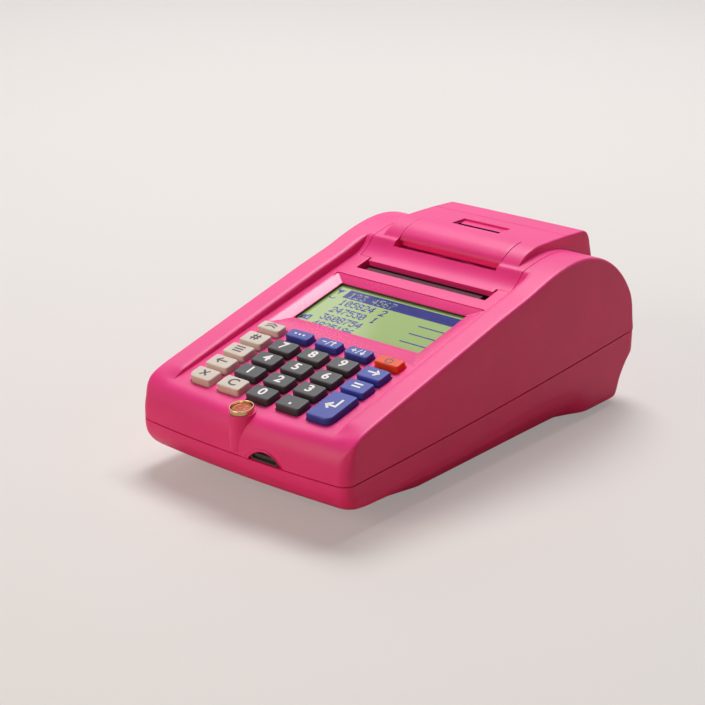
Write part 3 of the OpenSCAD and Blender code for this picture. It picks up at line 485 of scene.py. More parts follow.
# port arch on the front, above the seam
port = dict(rimX=13.55, rimHalf=10.0, rimHeight=5.7, x=15.2, half=8.25, height=4.7, left=7.0,
            columns=(2.5, 24.4375), rows=9, reach=(2.6, 24.2), points=24,
            # share 0 is the rim's outer line, 1 the opening's edge; then how far back from the front
            profile=((-0.14, 0.0), (-0.06, -0.05), (0.04, -0.28), (0.2, -0.5), (0.8, -0.5), (0.95, -0.44),
                     (1, -0.25), (1, 0.3), (1, 4.0)))


def archLine(centre, half, height, count):
    # points up and over a circular arc of that half width and height, standing on the seam
    r = (half ** 2 + height ** 2) / (2 * height)
    a = math.asin(min(1, half / r))
    t = np.linspace(-a, a, count)
    return centre + r * np.sin(t), case["seamZ"] + height - r + r * np.cos(t)


def frontFace(x, z):
    f = np.interp(z, noseCurve[:, 1], noseCurve[:, 0])
    return case["frontY"] + bow(x) + np.where(z < case["nose"][0][1], 0, f)


def portPatch(skin, grid, c0, c1):
    r1 = port["rows"]
    border = np.concatenate([grid[:r1, c0], grid[r1, c0:c1], grid[r1:0:-1, c1], grid[:1, c1]])
    outer = np.stack(archLine(port["rimX"], port["rimHalf"], port["rimHeight"], len(border)))
    inner = np.stack(archLine(port["x"], port["half"], port["height"], len(border)))
    inner[0] = np.maximum(inner[0], port["left"])
    loops = [border]
    for share, dy in port["profile"]:
        x, z = outer * (1 - share) + inner * share
        z = np.maximum(z, seamHeight(case["frontY"]) + case["seamGap"])
        loops.append(np.stack([x, frontFace(x, z) + dy, z], -1))
    skin.grid(np.stack(loops), flip=True)


def slotAndBay(skin, grid, cSlot, cBay):
    # the edge is rolled over and runs down as the bay's walls
    r0, r1, r2 = rows.slotRow, rows.bayRow, rows.bayEnd

    def around(p):
        return np.concatenate([
            p[r0, cSlot[0]:cSlot[1]], p[r0:r1, cSlot[1]], p[r1, cSlot[1]:cBay[1]], p[r1:r2, cBay[1]],
            p[r2, cBay[1]:cBay[0]:-1], p[r2:r1:-1, cBay[0]], p[r1, cBay[0]:cSlot[0]], p[r1:r0:-1, cSlot[0]]])

    border, facing = around(grid), around(gridNormals(grid))
    wall = roll(border, facing, sideways(border, facing), bay["edge"], bay["wall"])
    # the rear wall leaves room for the cover's swing, then follows the shell down
    wall[-1][:, 1:] = np.where(wall[-1][:, 1:2] > bay["rear"], bay["pocket"], wall[-1][:, 1:])
    deep = wall[-1].copy()
    deep[:, 2] = np.minimum(bay["floor"], deep[:, 2] - 0.5)
    start, y = bay["rearFoot"]
    deep[:, 1] = np.where(deep[:, 1] > start, y, deep[:, 1])
    skin.rings(list(wall) + [deep])


def buildTopShell(pink, polished):
    skin = Skin()
    grid, lead, inside = topShellGrid()
    colOf = {round(float(x), 4): lead + i for i, x in enumerate(inside)}
    cDisplay = (colOf[-display["half"]], colOf[display["half"]])
    cBay = (cDisplay[0] - 2, cDisplay[1] + 2)
    cSlot = [nearest(grid[rows.slotRow, :, 0], x) for x in (-slot["half"], slot["half"])]
    cPort = [colOf[x] for x in port["columns"]]
    keep = np.ones((rows.count - 1, grid.shape[1] - 1), bool)
    for r0, r1, (c0, c1) in ((rows.cellRow[0], rows.lcdEnd, cDisplay), (rows.slotRow, rows.bayRow, cSlot),
                             (rows.bayRow, rows.bayEnd, cBay), (0, port["rows"], cPort)):
        keep[r0:r1, c0:c1] = False
    skin.grid(grid, keep)
    for k in keys:
        g = keyLook["gap"]
        hole = (np.subtract(k["low"], g), np.add(k["high"], g), np.array(k["radii"]) + g)
        holePatch(skin, grid, (rows.cellRow[k["row"]], rows.cellRow[k["row"] + k["span"]],
                               colOf[keypad["xs"][k["col"]]], colOf[keypad["xs"][k["col"] + 1]]), hole)
    recessPatch(skin, grid, (rows.cellRow[5], rows.lcdEnd, *cDisplay))
    portPatch(skin, grid, *cPort)
    slotAndBay(skin, grid, cSlot, cBay)
    # sides and the lower edge, turned in at the seam
    left, right = sideWall(grid[:, 0]), sideWall(grid[:, -1])
    skin.grid(left, flip=True)
    skin.grid(right)
    low = np.concatenate([grid[0], right[1:, -1], grid[-1, ::-1][1:], left[::-1][1:-1, -1]])
    skin.rings([low] + seamLip(low, 1), flip=True)
    skin.rings(bossRings())
    print("upper shell: faces", sum(len(f) for f in skin.faces))
    skin.piece("top_case", [pink, polished], "body", ["top_shell"], "shell_pink")


# keys
keyLook = dict(width=11.65, length=7.75, topLength=5.7, radius=1.2, bigRadius=3.2, rise=2.6, under=-2.4,
               gap=0.2, flange=0.55, edge=0.55, draft=0.12, rim=0.35)
keyRows = (("quantity", "clear", "0", "point", "total"), ("void", "1", "2", "3", None),
           ("department", "4", "5", "6", "subtotal"), ("item", "7", "8", "9", "payment"),
           ("feed", "function", "minus", "plus", "power"))
creamKeys = ("feed", "item", "department", "void", "quantity", "clear")
blueKeys = ("function", "minus", "plus", "payment", "subtotal", "total")


def keySlot(name):
    if name in creamKeys:
        return "key_cream"
    if name in blueKeys:
        return "key_blue"
    return "key_orange" if name == "power" else "key_grey"


def keyPlaces():
    places = []
    for row, names in enumerate(keyRows):
        for col, name in enumerate(names):
            if name is None:
                continue
            span = 2 if name == "total" else 1
            length = keyLook["length"] + (span - 1) * keypad["pitch"]
            if row == 4:
                length = keyLook["topLength"]
            x, s = (col - 2) * keypad["columnPitch"], (row + (span - 1) / 2) * keypad["pitch"]
            # the keypad's two lower corners are rounder
            radii = [keyLook["bigRadius"] if name == corner else keyLook["radius"]
                     for corner in ("quantity", "total", "", "")]
            half = keyLook["width"] / 2
            places.append(dict(name=name, col=col, row=row, span=span, x=x, s=s, radii=tuple(radii),
                               low=(x - half, s - length / 2), high=(x + half, s + length / 2)))
    return places


keys = keyPlaces()


def keyProfile():
    # how far outside the key's outline the skin lies at each height: flange, wall, rolled edge, top
    look, top, foot = keyLook, keyLook["rise"], keyLook["under"]
    draft, edge, flange = look["draft"], look["edge"], look["flange"]
    profile = [(flange, foot - 1.0), (flange, foot), (0.0, foot), (-draft * 0.5, top - 2.0),
               (-draft, top - edge)]
    for a in np.radians((22, 45, 67, 90)):
        profile.append((-draft - edge * (1 - math.cos(a)), top - edge * (1 - math.sin(a))))
    return profile + [(-draft - edge - look["rim"], top)]


def buildKey(k, cap, mark):
    skin = Skin()
    counts, radii = (16, 10 * k["span"]), np.array(k["radii"])
    profile = keyProfile()
    loops = [panelLoop(*counts, k["low"], k["high"], np.maximum(radii, 0.1 - grow), grow, height)
             for grow, height in profile]
    # the flat top and the open foot shrink to the key's middle
    x, s = roundedLoop(*counts, k["low"], k["high"], radii, profile[-1][0])
    dx, ds = x - k["x"], s - k["s"]
    loops += [onPanel(k["x"] + dx * share, k["s"] + ds * share, keyLook["rise"]) for share in (0.5, 0.0)]
    loops.insert(0, onPanel(k["x"] + 0 * x, k["s"] + 0 * s, profile[0][1]))
    skin.rings(loops)
    addMark(skin, k)
    name = k["name"]
    skin.piece("key_cap_" + name, [cap, mark], "key_" + name, ["key_" + name], keySlot(name))


marks = dict(size=5.9, wide=1.12, lift=0.03, up=0.35, topRowUp=0.05, bold=0.32)


def stroke(points, width):
    # a bent band of even width along a line of points: each point moved half a width to either side
    p = np.array(points, float)
    seg = unit(np.diff(p, axis=0))
    before, after = np.concatenate([seg[:1], seg]), np.concatenate([seg, seg[-1:]])
    m = unit(before + after)
    cosine = np.concatenate([[1], (np.concatenate([seg[1:], seg[-1:]]) * m[1:]).sum(-1)])
    n = np.stack([-m[:, 1], m[:, 0]], -1) / np.maximum(np.abs(cosine), 0.4)[:, None]
    return p + n * width / 2, p - n * width / 2


def circle(cx, cy, r, a0, a1, count):
    a = np.radians(np.linspace(a0, a1, count))
    return np.stack([cx + r * np.cos(a), cy + r * np.sin(a)], -1)


# generic signs, as lines in millimetres about the key's middle, each with its own width
markLines = {
    "feed": [([(-2.6, -0.9), (0, 0.2), (2.6, -0.9)], 0.7), ([(-2.6, 0.5), (0, 1.6), (2.6, 0.5)], 0.7)],
    "function": [([(-2.6, 0), (-1.6, 0)], 1.0), ([(-0.5, 0), (0.5, 0)], 1.0), ([(1.6, 0), (2.6, 0)], 1.0)],
    "minus": [([(-3.3, 0.1), (-1.3, 0.1)], 0.6), ([(-0.7, -1.5), (0.6, 1.6)], 0.45),
              ([(2.2, -1.5), (2.2, 1.3)], 0.55), ([(1.3, 0.4), (2.2, 1.5), (3.1, 0.4)], 0.55)],
    "plus": [([(-3.5, 0.1), (-1.3, 0.1)], 0.6), ([(-2.4, -1.0), (-2.4, 1.2)], 0.6),
             ([(-0.7, -1.5), (0.6, 1.6)], 0.45), ([(2.2, 1.6), (2.2, -1.2)], 0.55),
             ([(1.3, -0.3), (2.2, -1.4), (3.1, -0.3)], 0.55)],
    "power": [(circle(0, -0.1, 1.5, 125, 415, 22), 0.6), ([(0, 0.2), (0, 1.9)], 0.6)],
    "item": [([(-1.2, -2), (-0.5, 2)], 0.75), ([(0.6, -2), (1.3, 2)], 0.75),
             ([(-2.2, -0.7), (2.0, -0.7)], 0.75), ([(-1.9, 0.8), (2.3, 0.8)], 0.75)],
    "department": [([(-2.3, y), (2.3, y)], 0.8) for y in (-1.5, 0, 1.5)],
    "void": [([(2.6, 0), (-2.2, 0)], 0.8), ([(-0.6, 1.7), (-2.4, 0), (-0.6, -1.7)], 0.8)],
    "quantity": [([(-1.6, -1.6), (1.6, 1.6)], 0.85), ([(-1.6, 1.6), (1.6, -1.6)], 0.85)],
    "payment": [([(-2.7, 0), (2.2, 0)], 0.85), ([(0.6, 1.7), (2.4, 0), (0.6, -1.7)], 0.85)],
    "subtotal": [([(-2.1, -0.9), (2.1, -0.9)], 0.85), ([(-2.1, 0.9), (2.1, 0.9)], 0.85)],
    "total": [([(2.0, 4.2), (2.0, -0.6), (-1.9, -0.6)], 1.05),
              ([(-0.2, 1.3), (-2.2, -0.6), (-0.2, -2.5)], 1.05)],
    "point": [([(-0.55, -1.6), (0.55, -1.6)], 1.1)],
}


def addMark(skin, k):
    name = k["name"]
    up = marks["up"] if k["row"] < 4 else marks["topRowUp"]

    def place(xy):
        return onPanel(k["x"] + xy[..., 0], k["s"] + up + xy[..., 1], keyLook["rise"] + marks["lift"])

    for points, width in markLines.get(name, ()):
        a, b = stroke(points, width)
        skin.grid(place(np.stack([b, a])), slot=1)
    if name.isdigit() or name == "clear":
        points, faces = letterMesh("C" if name == "clear" else name)
        skin.polygons(place(points * [marks["wide"], 1.0]), faces, slot=1)


def letterMesh(text):
    # the points of a letter about its own middle, and its faces
    letter = bpy.data.curves.new("mark", "FONT")
    letter.body, letter.size, letter.offset, letter.resolution_u = text, marks["size"], marks["bold"] / 2, 4
    letter.align_x = letter.align_y = "CENTER"
    thing = addObject("mark", letter)
    mesh = bpy.data.meshes.new_from_object(thing.evaluated_get(bpy.context.evaluated_depsgraph_get()))
    co = np.zeros(len(mesh.vertices) * 3)
    mesh.vertices.foreach_get("co", co)
    co = co.reshape(-1, 3)[:, :2]
    faces = [list(f.vertices) for f in mesh.polygons]
    bpy.data.objects.remove(thing)
    bpy.data.curves.remove(letter)
    bpy.data.meshes.remove(mesh)
    return co - (co.max(0) + co.min(0)) / 2, faces


# lower shell; each path gives how far in the wall lies at a height above the underside
baseShape = dict(floor=2.2, noseLift=6.4, underY=-45.0, cornerRadius=5.0, doorHalf=33.6, door=(-83.0, -37.0),
                 front=((11, 0), (9.4, 0), (5.9, 0.7), (2.6, 2.5), (0.9, 4.4), (0, 6.2)),
                 edge=((11, 0), (6.0, 0.0), (3.7, 0.46), (1.76, 1.76), (0.46, 3.7), (0, 6.0)),
                 heelSide=((11, 0), (4.2, 0.0), (2.2, 0.12), (1.0, 0.55), (0.3, 1.3), (0, 2.4)),
                 heel=((28, 0.0), (20.0, 0.25), (18.3, 0.8), (14.8, 4.2), (8.8, 8.2), (1.2, 10.9),
                       (0.3, 11.7), (0, 13.0)),
                 sideFrom=8, sideSpan=14, doorWall=2.2, skirt=2.5)
# finger undercut: where it starts and ends, its top edge along y, and its hollow
undercut = dict(start=(-86, -60), end=(45.0, 62.0),
                top=((-84, 4.0), (-67, 6.6), (-57, 9.2), (-47, 11.4), (-20, 12.4), (-6, 13.6), (8, 14.8),
                     (22, 15.6), (38, 15.6), (50, 13.0), (60, 9.0)),
                path=((1.0, 0.0), (0.9, 0.12), (0.62, 1.35), (0.42, 2.9), (0.2, 4.9), (0.07, 6.4), (0, 8.2)))


def planLoop(insetFront, insetRear):
    # a rounded rectangle with a bowed front, counter-clockwise from the front left corner's end
    hw, y0, y1 = case["halfWidth"], case["frontY"] + insetFront, case["rearY"] - insetRear
    r = baseShape["cornerRadius"]
    fy = y0 + bow(hw)
    long = y1 - r - fy - r
    x = np.linspace(-hw + r, hw - r, 40)
    front = np.stack([x, y0 + bow(x)], -1)
    front[:, 1] += (fy - front[-1, 1]) * np.clip((np.abs(x) - 40) / (hw - r - 40), 0, 1) ** 2
    a = np.radians(np.linspace(-90, 0, 14))[1:-1]
    frontRight = np.stack([hw - r + r * np.cos(a), fy + r + r * np.sin(a)], -1)
    right = np.stack([np.full(90, hw), fy + r + long * np.linspace(0, 1, 90)], -1)
    a = np.radians(np.linspace(0, 90, 14))[1:-1]
    rearRight = np.stack([hw - r + r * np.cos(a), y1 - r + r * np.sin(a)], -1)
    rear = np.stack([x[::-1], np.full(len(x), y1)], -1)
    mirrored = [p[::-1] * np.array([-1, 1]) for p in (rearRight, right, frontRight)]
    return np.vstack([front, frontRight, right, rearRight, rear, *mirrored])


def underHeight(y):
    # the underside slopes up from its flat part towards the front
    y0, y1 = case["frontY"] + 6, baseShape["underY"]
    return baseShape["floor"] + baseShape["noseLift"] * np.clip((y1 - y) / (y1 - y0), 0, 1.2)


def insetAt(path, height):
    # inset of a path at a height above the underside
    p = through(path, 60)
    order = np.argsort(p[:, 0])
    return np.maximum(0, np.interp(height, p[order, 0], p[order, 1]))


def sideInset(y, height):
    # plain edge, finger undercut and heel, each with its share along the length
    (a0, a1), (b0, b1) = undercut["start"], undercut["end"]
    top = np.interp(y, *np.array(undercut["top"]).T)
    hollow = insetAt(undercut["path"], height / top)
    a, b = ease((y - a0) / (a1 - a0)), ease((y - b0) / (b1 - b0))
    front = insetAt(baseShape["edge"], height) * (1 - a) + hollow * a
    return front * (1 - b) + insetAt(baseShape["heelSide"], height) * b


def baseLoops():
    # once round the wall at each share g of its height, from the seam down to the underside
    loops = []
    frontTop = case["seamZ"] - underHeight(case["frontY"] + 3)
    rearTop = seamHeight(case["rearY"]) - baseShape["floor"]
    for g in np.concatenate([[1, 0.93, 0.85], np.linspace(0.8, 0.1, 22), [0.07, 0.045, 0.025, 0.01, 0]]):
        xy = planLoop(insetAt(baseShape["front"], frontTop * g), insetAt(baseShape["heel"], rearTop * g))
        under = underHeight(xy[:, 1])
        height = (seamHeight(xy[:, 1]) - case["seamGap"] - under) * g
        toSide = ease((xy[:, 1] - case["frontY"] - baseShape["sideFrom"]) / baseShape["sideSpan"])
        inset = sideInset(xy[:, 1], height) * toSide + insetAt(baseShape["edge"], height) * (1 - toSide)
        loops.append(np.column_stack([xy[:, 0] * (1 - inset / case["halfWidth"]), xy[:, 1], under + height]))
    return loops


def buildBase(pink):
    skin = Skin()
    loops = baseLoops()
    lips = seamLip(loops[0], -1)
    x, y = loops[0][:, 0], loops[0][:, 1]
    inPort = (y < -90) & (x > port["reach"][0]) & (x < port["reach"][1])
    skirt = lips[-1].copy()
    skirt[:, 2] += np.where(inPort, 0, baseShape["skirt"])
    skin.rings([skirt] + lips[::-1] + loops, flip=True)
    # the underside closes towards the battery door: rays from the door's middle
    last = loops[-1]
    y0, y1 = baseShape["door"]
    middle = (y0 + y1) / 2
    d = unit(np.column_stack([last[:, 0], last[:, 1] - middle]))
    reach = 1 / np.maximum(np.abs(d[:, 0]) / baseShape["doorHalf"], np.abs(d[:, 1]) / ((y1 - y0) / 2))
    inner = np.column_stack([d[:, 0] * reach, middle + d[:, 1] * reach])
    under = [last]
    for t in steps(0, 1, 12):
        xy = last[:, :2] * (1 - t) + inner * t
        under.append(np.column_stack([xy, underHeight(xy[:, 1])]))
    skin.rings(under, flip=True)
    skin.rings([under[-1], under[-1] + [0, 0, baseShape["doorWall"]]], flip=True)
    print("lower shell: faces", sum(len(f) for f in skin.faces))
    skin.piece("base_case", [pink], "body", ["base_shell"], "shell_pink")


# cover with its hood
cover = dict(edgeX=38.3, front=22.2, bend=31.3, lipY=20.0, lipHalf=33.0, lipDepth=0.6, endAngle=30.6,
             footAngle=36.6, hoodHalf=34.7, edge=0.8, crown=0.12, rearY=79.3, fold=66.8, foldDepth=0.16,
             roll=0.14, wall=1.7, tray=64.4, trayEdge=1.2)
flap = dict(half=25.95, opening=26.35, front=29.1, crease=46.6, roll=0.12, wall=1.2, skirtY=38, skirtZ=65.0)
fingerSlot = dict(half=12.1, y=(49.7, 58.8), ledge=((-11.5, 50.2), (11.7, 54.5)), roll=0.15, wall=0.75,
                  depth=3.4)
customerWindow = dict(half=18.9, z=(60.8, 55.2), roll=0.12, wall=0.7)
hoodEdge = ((30.2, 66.95), (32.2, 68.0), (35.1, 70.2), (38.0, 71.8), (41.5, 73.0), (46.6, 73.8), (56, 73.85),
            (66.8, 73.6))
hoodRear = ((79.3, 72.9), (81.6, 71.7), (83.1, 69.2), (83.9, 66.3), (84.8, 63.2), (85.6, 60.2), (86.3, 56.4),
            (86.73, 52.13))
flapTop = ((33.2, 67.6), (33.7, 68.9), (35.1, 70.3), (38.0, 71.95), (41.5, 73.15), (44.0, 73.65),
           (46.3, 73.88))


def coverPaths():
    # the wing's path over scoop and hump, and the hood's path above it, row by row
    c = cover
    y = np.sort(np.concatenate([
        np.linspace(c["lipY"], c["front"], 4)[:-1], np.linspace(c["front"], flap["front"], 12),
        steps(flap["front"], c["bend"], 4), steps(c["bend"], flap["crease"], 23),
        steps(flap["crease"], c["rearY"], 39),
        c["fold"] + np.array([-0.22, -0.07, 0.07, 0.22])]))
    wing = np.stack([y, wingHeight(y)], -1)
    (hy, hz), r = case["hump"], case["humpRadius"]
    beyond = y > hy
    wing[beyond, 1] = hz + np.sqrt(r ** 2 - (y[beyond] - hy) ** 2)
    edge = np.vstack([through(hoodEdge, 80), [[72, 73.3], hoodRear[0]]])
    hoodZ = np.where(y > hoodEdge[0][0], np.interp(y, edge[:, 0], edge[:, 1]), wing[:, 1])
    hoodZ = np.maximum(hoodZ, wing[:, 1]) - c["foldDepth"] * (np.abs(y - c["fold"]) < 0.1)
    # behind, both reach the hood's foot in the same row and end as one
    start = math.degrees(math.acos((c["rearY"] - hy) / r))
    tail = np.array(humpPoint(steps(start, c["footAngle"], 19))).T
    end = np.array(humpPoint(steps(c["footAngle"], c["endAngle"], 6))).T
    rear = through(hoodRear, 20)[1:]
    return np.vstack([wing, tail, end]), np.vstack([np.stack([y, hoodZ], -1), rear, end]), len(y)


def coverGrid(wing, hood, topRows):
    # from the middle out: flat hood, rolled edge, upright side, then the wing out to the cover's edge;
    # each point lies on the way from the wing to the hood by its column's share
    c, hh = cover, cover["hoodHalf"]
    gap = hood - wing
    height = np.maximum(np.hypot(gap[:, 0], gap[:, 1]), 1e-6)
    r = np.minimum(c["edge"], height * 0.45)[:, None]
    a = np.radians(np.linspace(0, 90, 7))[None]
    inside = np.linspace(hh - c["edge"] - 0.2, flap["opening"], 5)
    inside = np.concatenate([inside, steps(flap["opening"], 0, 24)])
    wingX, wingShare = [c["edgeX"], 37.8, 37.2, 36.4, 35.6, 35.1, 34.85], [0, 0, 0, 0, 0, 0.01, 0.04]
    every = np.ones((len(wing), 1))
    x = np.hstack([every * wingX, hh * every, hh - r * (1 - np.cos(a)), every * inside])
    share = np.hstack([every * wingShare, 0.3 * every, 1 - r / height[:, None] * (1 - np.sin(a)),
                       every * np.ones(len(inside))])
    yz = wing[:, None] + gap[:, None] * share[..., None]
    crown = c["crown"] * (1 - (x / hh) ** 2) * np.clip(height / 3, 0, 1)[:, None] * (share > 0.999)
    fade = np.ones(len(wing))
    fade[topRows:] = np.linspace(1, 0, len(wing) - topRows)
    yz[..., 1] += crown * fade[:, None]
    right = np.concatenate([x[..., None], yz], -1)
    return np.concatenate([right * np.array([-1, 1, 1]), right[:, ::-1][:, 1:]], 1)


def columnsWithin(row, half):
    inside = np.where(np.abs(row[:, 0]) <= half)[0]
    return inside[0], inside[-1]


def fingerHole(skin, p, block):
    # finger slot in the hood: a ledge at its rear, deeper in front
    f = fingerSlot
    border = blockBorder(p, *block)
    up = np.tile([0.0, 0.0, 1.0], (len(border), 1))
    wall = roll(border, up, sideways(border, up), f["roll"], f["wall"])
    low, high = wall[-1].min(0)[:2], wall[-1].max(0)[:2]
    (x0, y0), (x1, y1) = f["ledge"]
    inner = wall[-1].copy()
    inner[:, :2] = [x0, y0] + np.array([x1 - x0, y1 - y0]) * (inner[:, :2] - low) / (high - low)
    inner[:, 1] += np.where((inner[:, 0] < x0 + 0.5) & (inner[:, 1] > y1 - 0.1), high[1] - 0.3 - y1, 0)
    skin.rings(list(wall) + [inner])
    # the deep part and its cap take the black finish: painted shade down the slot
    skin.rings([inner, inner - [0, 0, f["depth"]]], slot=1, cap=True)


def windowHole(skin, p, block):
    border = blockBorder(p, *block)
    out = np.tile([0.0, 1.0, 0.0], (len(border), 1))
    skin.rings(list(roll(border, out, sideways(border, out), customerWindow["roll"], customerWindow["wall"])))


def coverEdge(skin, p, front, l0, l1):
    # the outer edge, rolled and run down; only the lip reaches in front of the wings
    def around(q):
        return np.concatenate([q[0, l0:l1], q[:front, l1], q[front, l1:-1], q[front:-1, -1], q[-1, :0:-1],
                               q[:front:-1, 0], q[front, :l0], q[front:0:-1, l0]])

    border, facing = around(p), around(gridNormals(p))
    wall = roll(border, facing, sideways(border, facing, -1), cover["roll"], cover["wall"])
    deep = wall[-1].copy()
    deep[:, 2] -= np.where(deep[:, 1] < cover["front"] - 0.4, cover["lipDepth"], 0.2)
    skin.rings(list(wall) + [deep], flip=True)


def flapTray(skin, p, block):
    # opening under the flap: its edge, then the tray
    border = blockBorder(p, *block)
    edge = border - [0, 0, cover["trayEdge"]]
    low = edge.copy()
    low[:, 2] = np.minimum(low[:, 2] - 2, cover["tray"])
    low[:, 1] = np.where(low[:, 1] < flap["front"] + 0.1, low[:, 1] + 0.6, low[:, 1])
    skin.rings([border, edge, low], cap=True)


def buildCover(pink, dark):
    skin = Skin()
    wing, hood, topRows = coverPaths()
    p = coverGrid(wing, hood, topRows)
    y = wing[:topRows, 0]
    stops = (cover["front"], flap["front"], flap["crease"], *fingerSlot["y"])
    front, f0, f1, h0, h1 = (nearest(y, v) for v in stops)
    w0, w1 = (topRows + nearest(hood[topRows:, 1], z) for z in customerWindow["z"])
    opening = (f0, f1, *columnsWithin(p[f0], flap["opening"] + 1e-6))
    finger = (h0, h1, *(nearest(p[f1, :, 0], x) for x in (-fingerSlot["half"], fingerSlot["half"])))
    window = (w0, w1, *(nearest(p[w0, :, 0], x) for x in (-customerWindow["half"], customerWindow["half"])))
    l0, l1 = columnsWithin(p[0], cover["lipHalf"])
    keep = np.ones((len(wing) - 1, p.shape[1] - 1), bool)
    for r0, r1, c0, c1 in (opening, finger, window, (0, front, 0, l0), (0, front, l1, p.shape[1])):
        keep[r0:r1, c0:c1] = False
    skin.grid(p, keep)
    coverEdge(skin, p, front, l0, l1)
    fingerHole(skin, p, finger)
    windowHole(skin, p, window)
    flapTray(skin, p, opening)
    print("cover: faces", sum(len(f) for f in skin.faces))
    skin.piece("rear_cover", [pink, dark], "cover", ["cover"], "shell_pink")


def buildFlap(pink):
    skin = Skin()
    path = through(flapTop, 40)
    x = np.linspace(-flap["half"], flap["half"], 33)
    crown = cover["crown"] * (1 - (x / cover["hoodHalf"]) ** 2)
    p = np.zeros((len(path), len(x), 3))
    p[..., 0] = x
    p[..., 1] = path[:, 0][:, None]
    p[..., 2] = path[:, 1][:, None] + crown[None]
    skin.grid(p)
    whole = (0, len(path) - 1, 0, len(x) - 1)
    border, facing = blockBorder(p, *whole), blockBorder(gridNormals(p), *whole)
    wall = roll(border, facing, sideways(border, facing, -1), flap["roll"], flap["wall"])
    skirt = wall[-1].copy()
    skirt[:, 2] -= 0.1
    inFront = skirt[:, 1] < flap["skirtY"]
    skirt[inFront, 2] = np.minimum(skirt[inFront, 2], flap["skirtZ"])
    skin.rings(list(wall) + [skirt], flip=True)
    skin.piece("flap_cap", [pink], "flap", ["hood_flap"], "shell_pink")


# display
screen = dict(level=-2.75, margin=0.9, gasket=0.08, gasketTop=0.12, lift=0.02, left=-23.6, right=0.4,
              pitch=3.0, lines=(76.5, 70.45, 64.5, 58.55, 52.8), pixel=(0.5, 0.6), spread=1.32,
              dashes=(17.9, 2.75, 2.1, 0.5), signal=(-29.4, 75.6, 1.9, 215, 325, 9), signalWidth=0.6)
digitRows = dict(zip("0123456789", (
    (14, 17, 19, 21, 25, 17, 14), (4, 12, 4, 4, 4, 4, 14), (14, 17, 1, 2, 4, 8, 31), (31, 2, 4, 2, 1, 17, 14),
    (2, 6, 10, 18, 31, 2, 2), (31, 16, 30, 1, 1, 17, 14), (6, 8, 16, 30, 17, 17, 14), (31, 1, 2, 4, 8, 8, 8),
    (14, 17, 17, 14, 17, 17, 14), (14, 17, 17, 15, 1, 2, 12))))
screenText = ("123 4567", "105824 2", "247530 1", "3608754", "4825196")
battery = dict(rows=(0b0000111, 0b0111101, 0b1111001, 0b1111001, 0b1111111), place=(-31.4, 55.6),
               cell=(0.62, 0.72))
antenna = dict(rows=(0b1010101, 0b0111110, 0b0011100, 0b0001000, 0b0001000), place=(-30.9, 77.3),
               cell=(0.5, 0.7))


def pixelCells(bitRows, width, x, s, cell):
    # one cell for every bit that is set, the top row first
    return [(x + (width - 1 - b) * cell[0], s + (len(bitRows) - 1 - r) * cell[1], *cell)
            for r, bits in enumerate(bitRows) for b in range(width) if bits >> b & 1]


def screenCells():
    # every dark cell of the display: x, s, width and height
    (px, py), left, cells = screen["pixel"], screen["left"], []
    for line, (text, s) in enumerate(zip(screenText, screen["lines"])):
        letters = []
        for i, letter in enumerate(text):
            if letter in digitRows:
                letters += pixelCells(digitRows[letter], 5, left + i * screen["pitch"], s, (px, py))
        if line:
            # five dashes at the right of the line
            x, pitch, width, height = screen["dashes"]
            cells += letters + [(x + pitch * i, s, width, height) for i in range(5)]
        else:
            # the inverted band is cut into cells and leaves out its text
            taken = {(round((x - left) / px), round((y - s) / py)) for x, y, *_ in letters}
            n = int((display["window"] - screen["right"] - left) / px)
            cells += [(left + i * px, s + j * py, px, py) for i in range(-4, n) for j in range(-1, 9)
                      if (i, j) not in taken]
    for sign in (battery, antenna):
        cells += pixelCells(sign["rows"], 7, *sign["place"], sign["cell"])
    return np.array(cells)


def buildScreen(glass, ink, gasket):
    skin = Skin()
    d, m, level = display, screen["margin"], screen["level"]
    low, high = (-d["window"], d["w0"]), (d["window"], d["w1"])
    u, v = np.meshgrid(np.linspace(low[0] - m, high[0] + m, 25), np.linspace(low[1] - m, high[1] + m, 13))
    skin.grid(onPanel(u, v, level))
    # a gasket closes the gap from the glass up to the frame; its black is painted shade, the shade that falls
    # in that gap
    foot, top = level + screen["gasket"], -d["depth"] - screen["gasketTop"]
    skin.rings([panelLoop(30, 15, low, high, 0.3, grow, n)
                for grow, n in ((m, foot), (0.03, foot), (0.03, top), (0.5, top))], slot=2, flip=True)
    # a cell's dark area spreads a little over its neighbours
    x0, s0, width, height = screenCells().T
    x1, s1 = x0 + width * screen["spread"], s0 + height * screen["spread"]
    x, s = (np.stack(corners, -1).ravel() for corners in ((x0, x1, x1, x0), (s0, s0, s1, s1)))
    skin.polygons(onPanel(x, s, level + screen["lift"]), np.arange(len(x)).reshape(-1, 4).tolist(), slot=1)
    # the signal arc below the antenna
    a, b = stroke(circle(*screen["signal"]), screen["signalWidth"])
    arc = np.stack([b, a])
    skin.grid(onPanel(arc[..., 0], arc[..., 1], level + screen["lift"]), slot=1)
    skin.piece("display_glass", [glass, ink, gasket], "body", ["lens"], "lens_green")


# seal cup on its boss
cup = dict(x=0.0, s=-11.7, tilt=8.0, back=0.09, radius=4.7, wall=0.42, top=2.95, seat=0.95, floor=-0.2,
           sunk=0.85, bossRadius=5.3, bossEdge=0.3, bossFoot=4.9, footY=-0.35, footZ=21.3)


def turns(count):
    return np.linspace(0, 2 * math.pi, count, endpoint=False)


def cupPoint(radius, a, n):
    # a point at that radius and angle about the cup's own axis, n up from the panel
    t = math.radians(cup["tilt"])
    foot = onPanel(cup["x"], cup["s"], 0.0) + [0, cup["back"], 0]
    axes = np.array([[1, 0, 0], [0, math.cos(t), math.sin(t)], [0, -math.sin(t), math.cos(t)]])
    return foot + np.stack(np.broadcast_arrays(radius * np.cos(a), radius * np.sin(a), n), -1) @ axes


def discLoop(radius, n):
    return cupPoint(radius, turns(64), n)


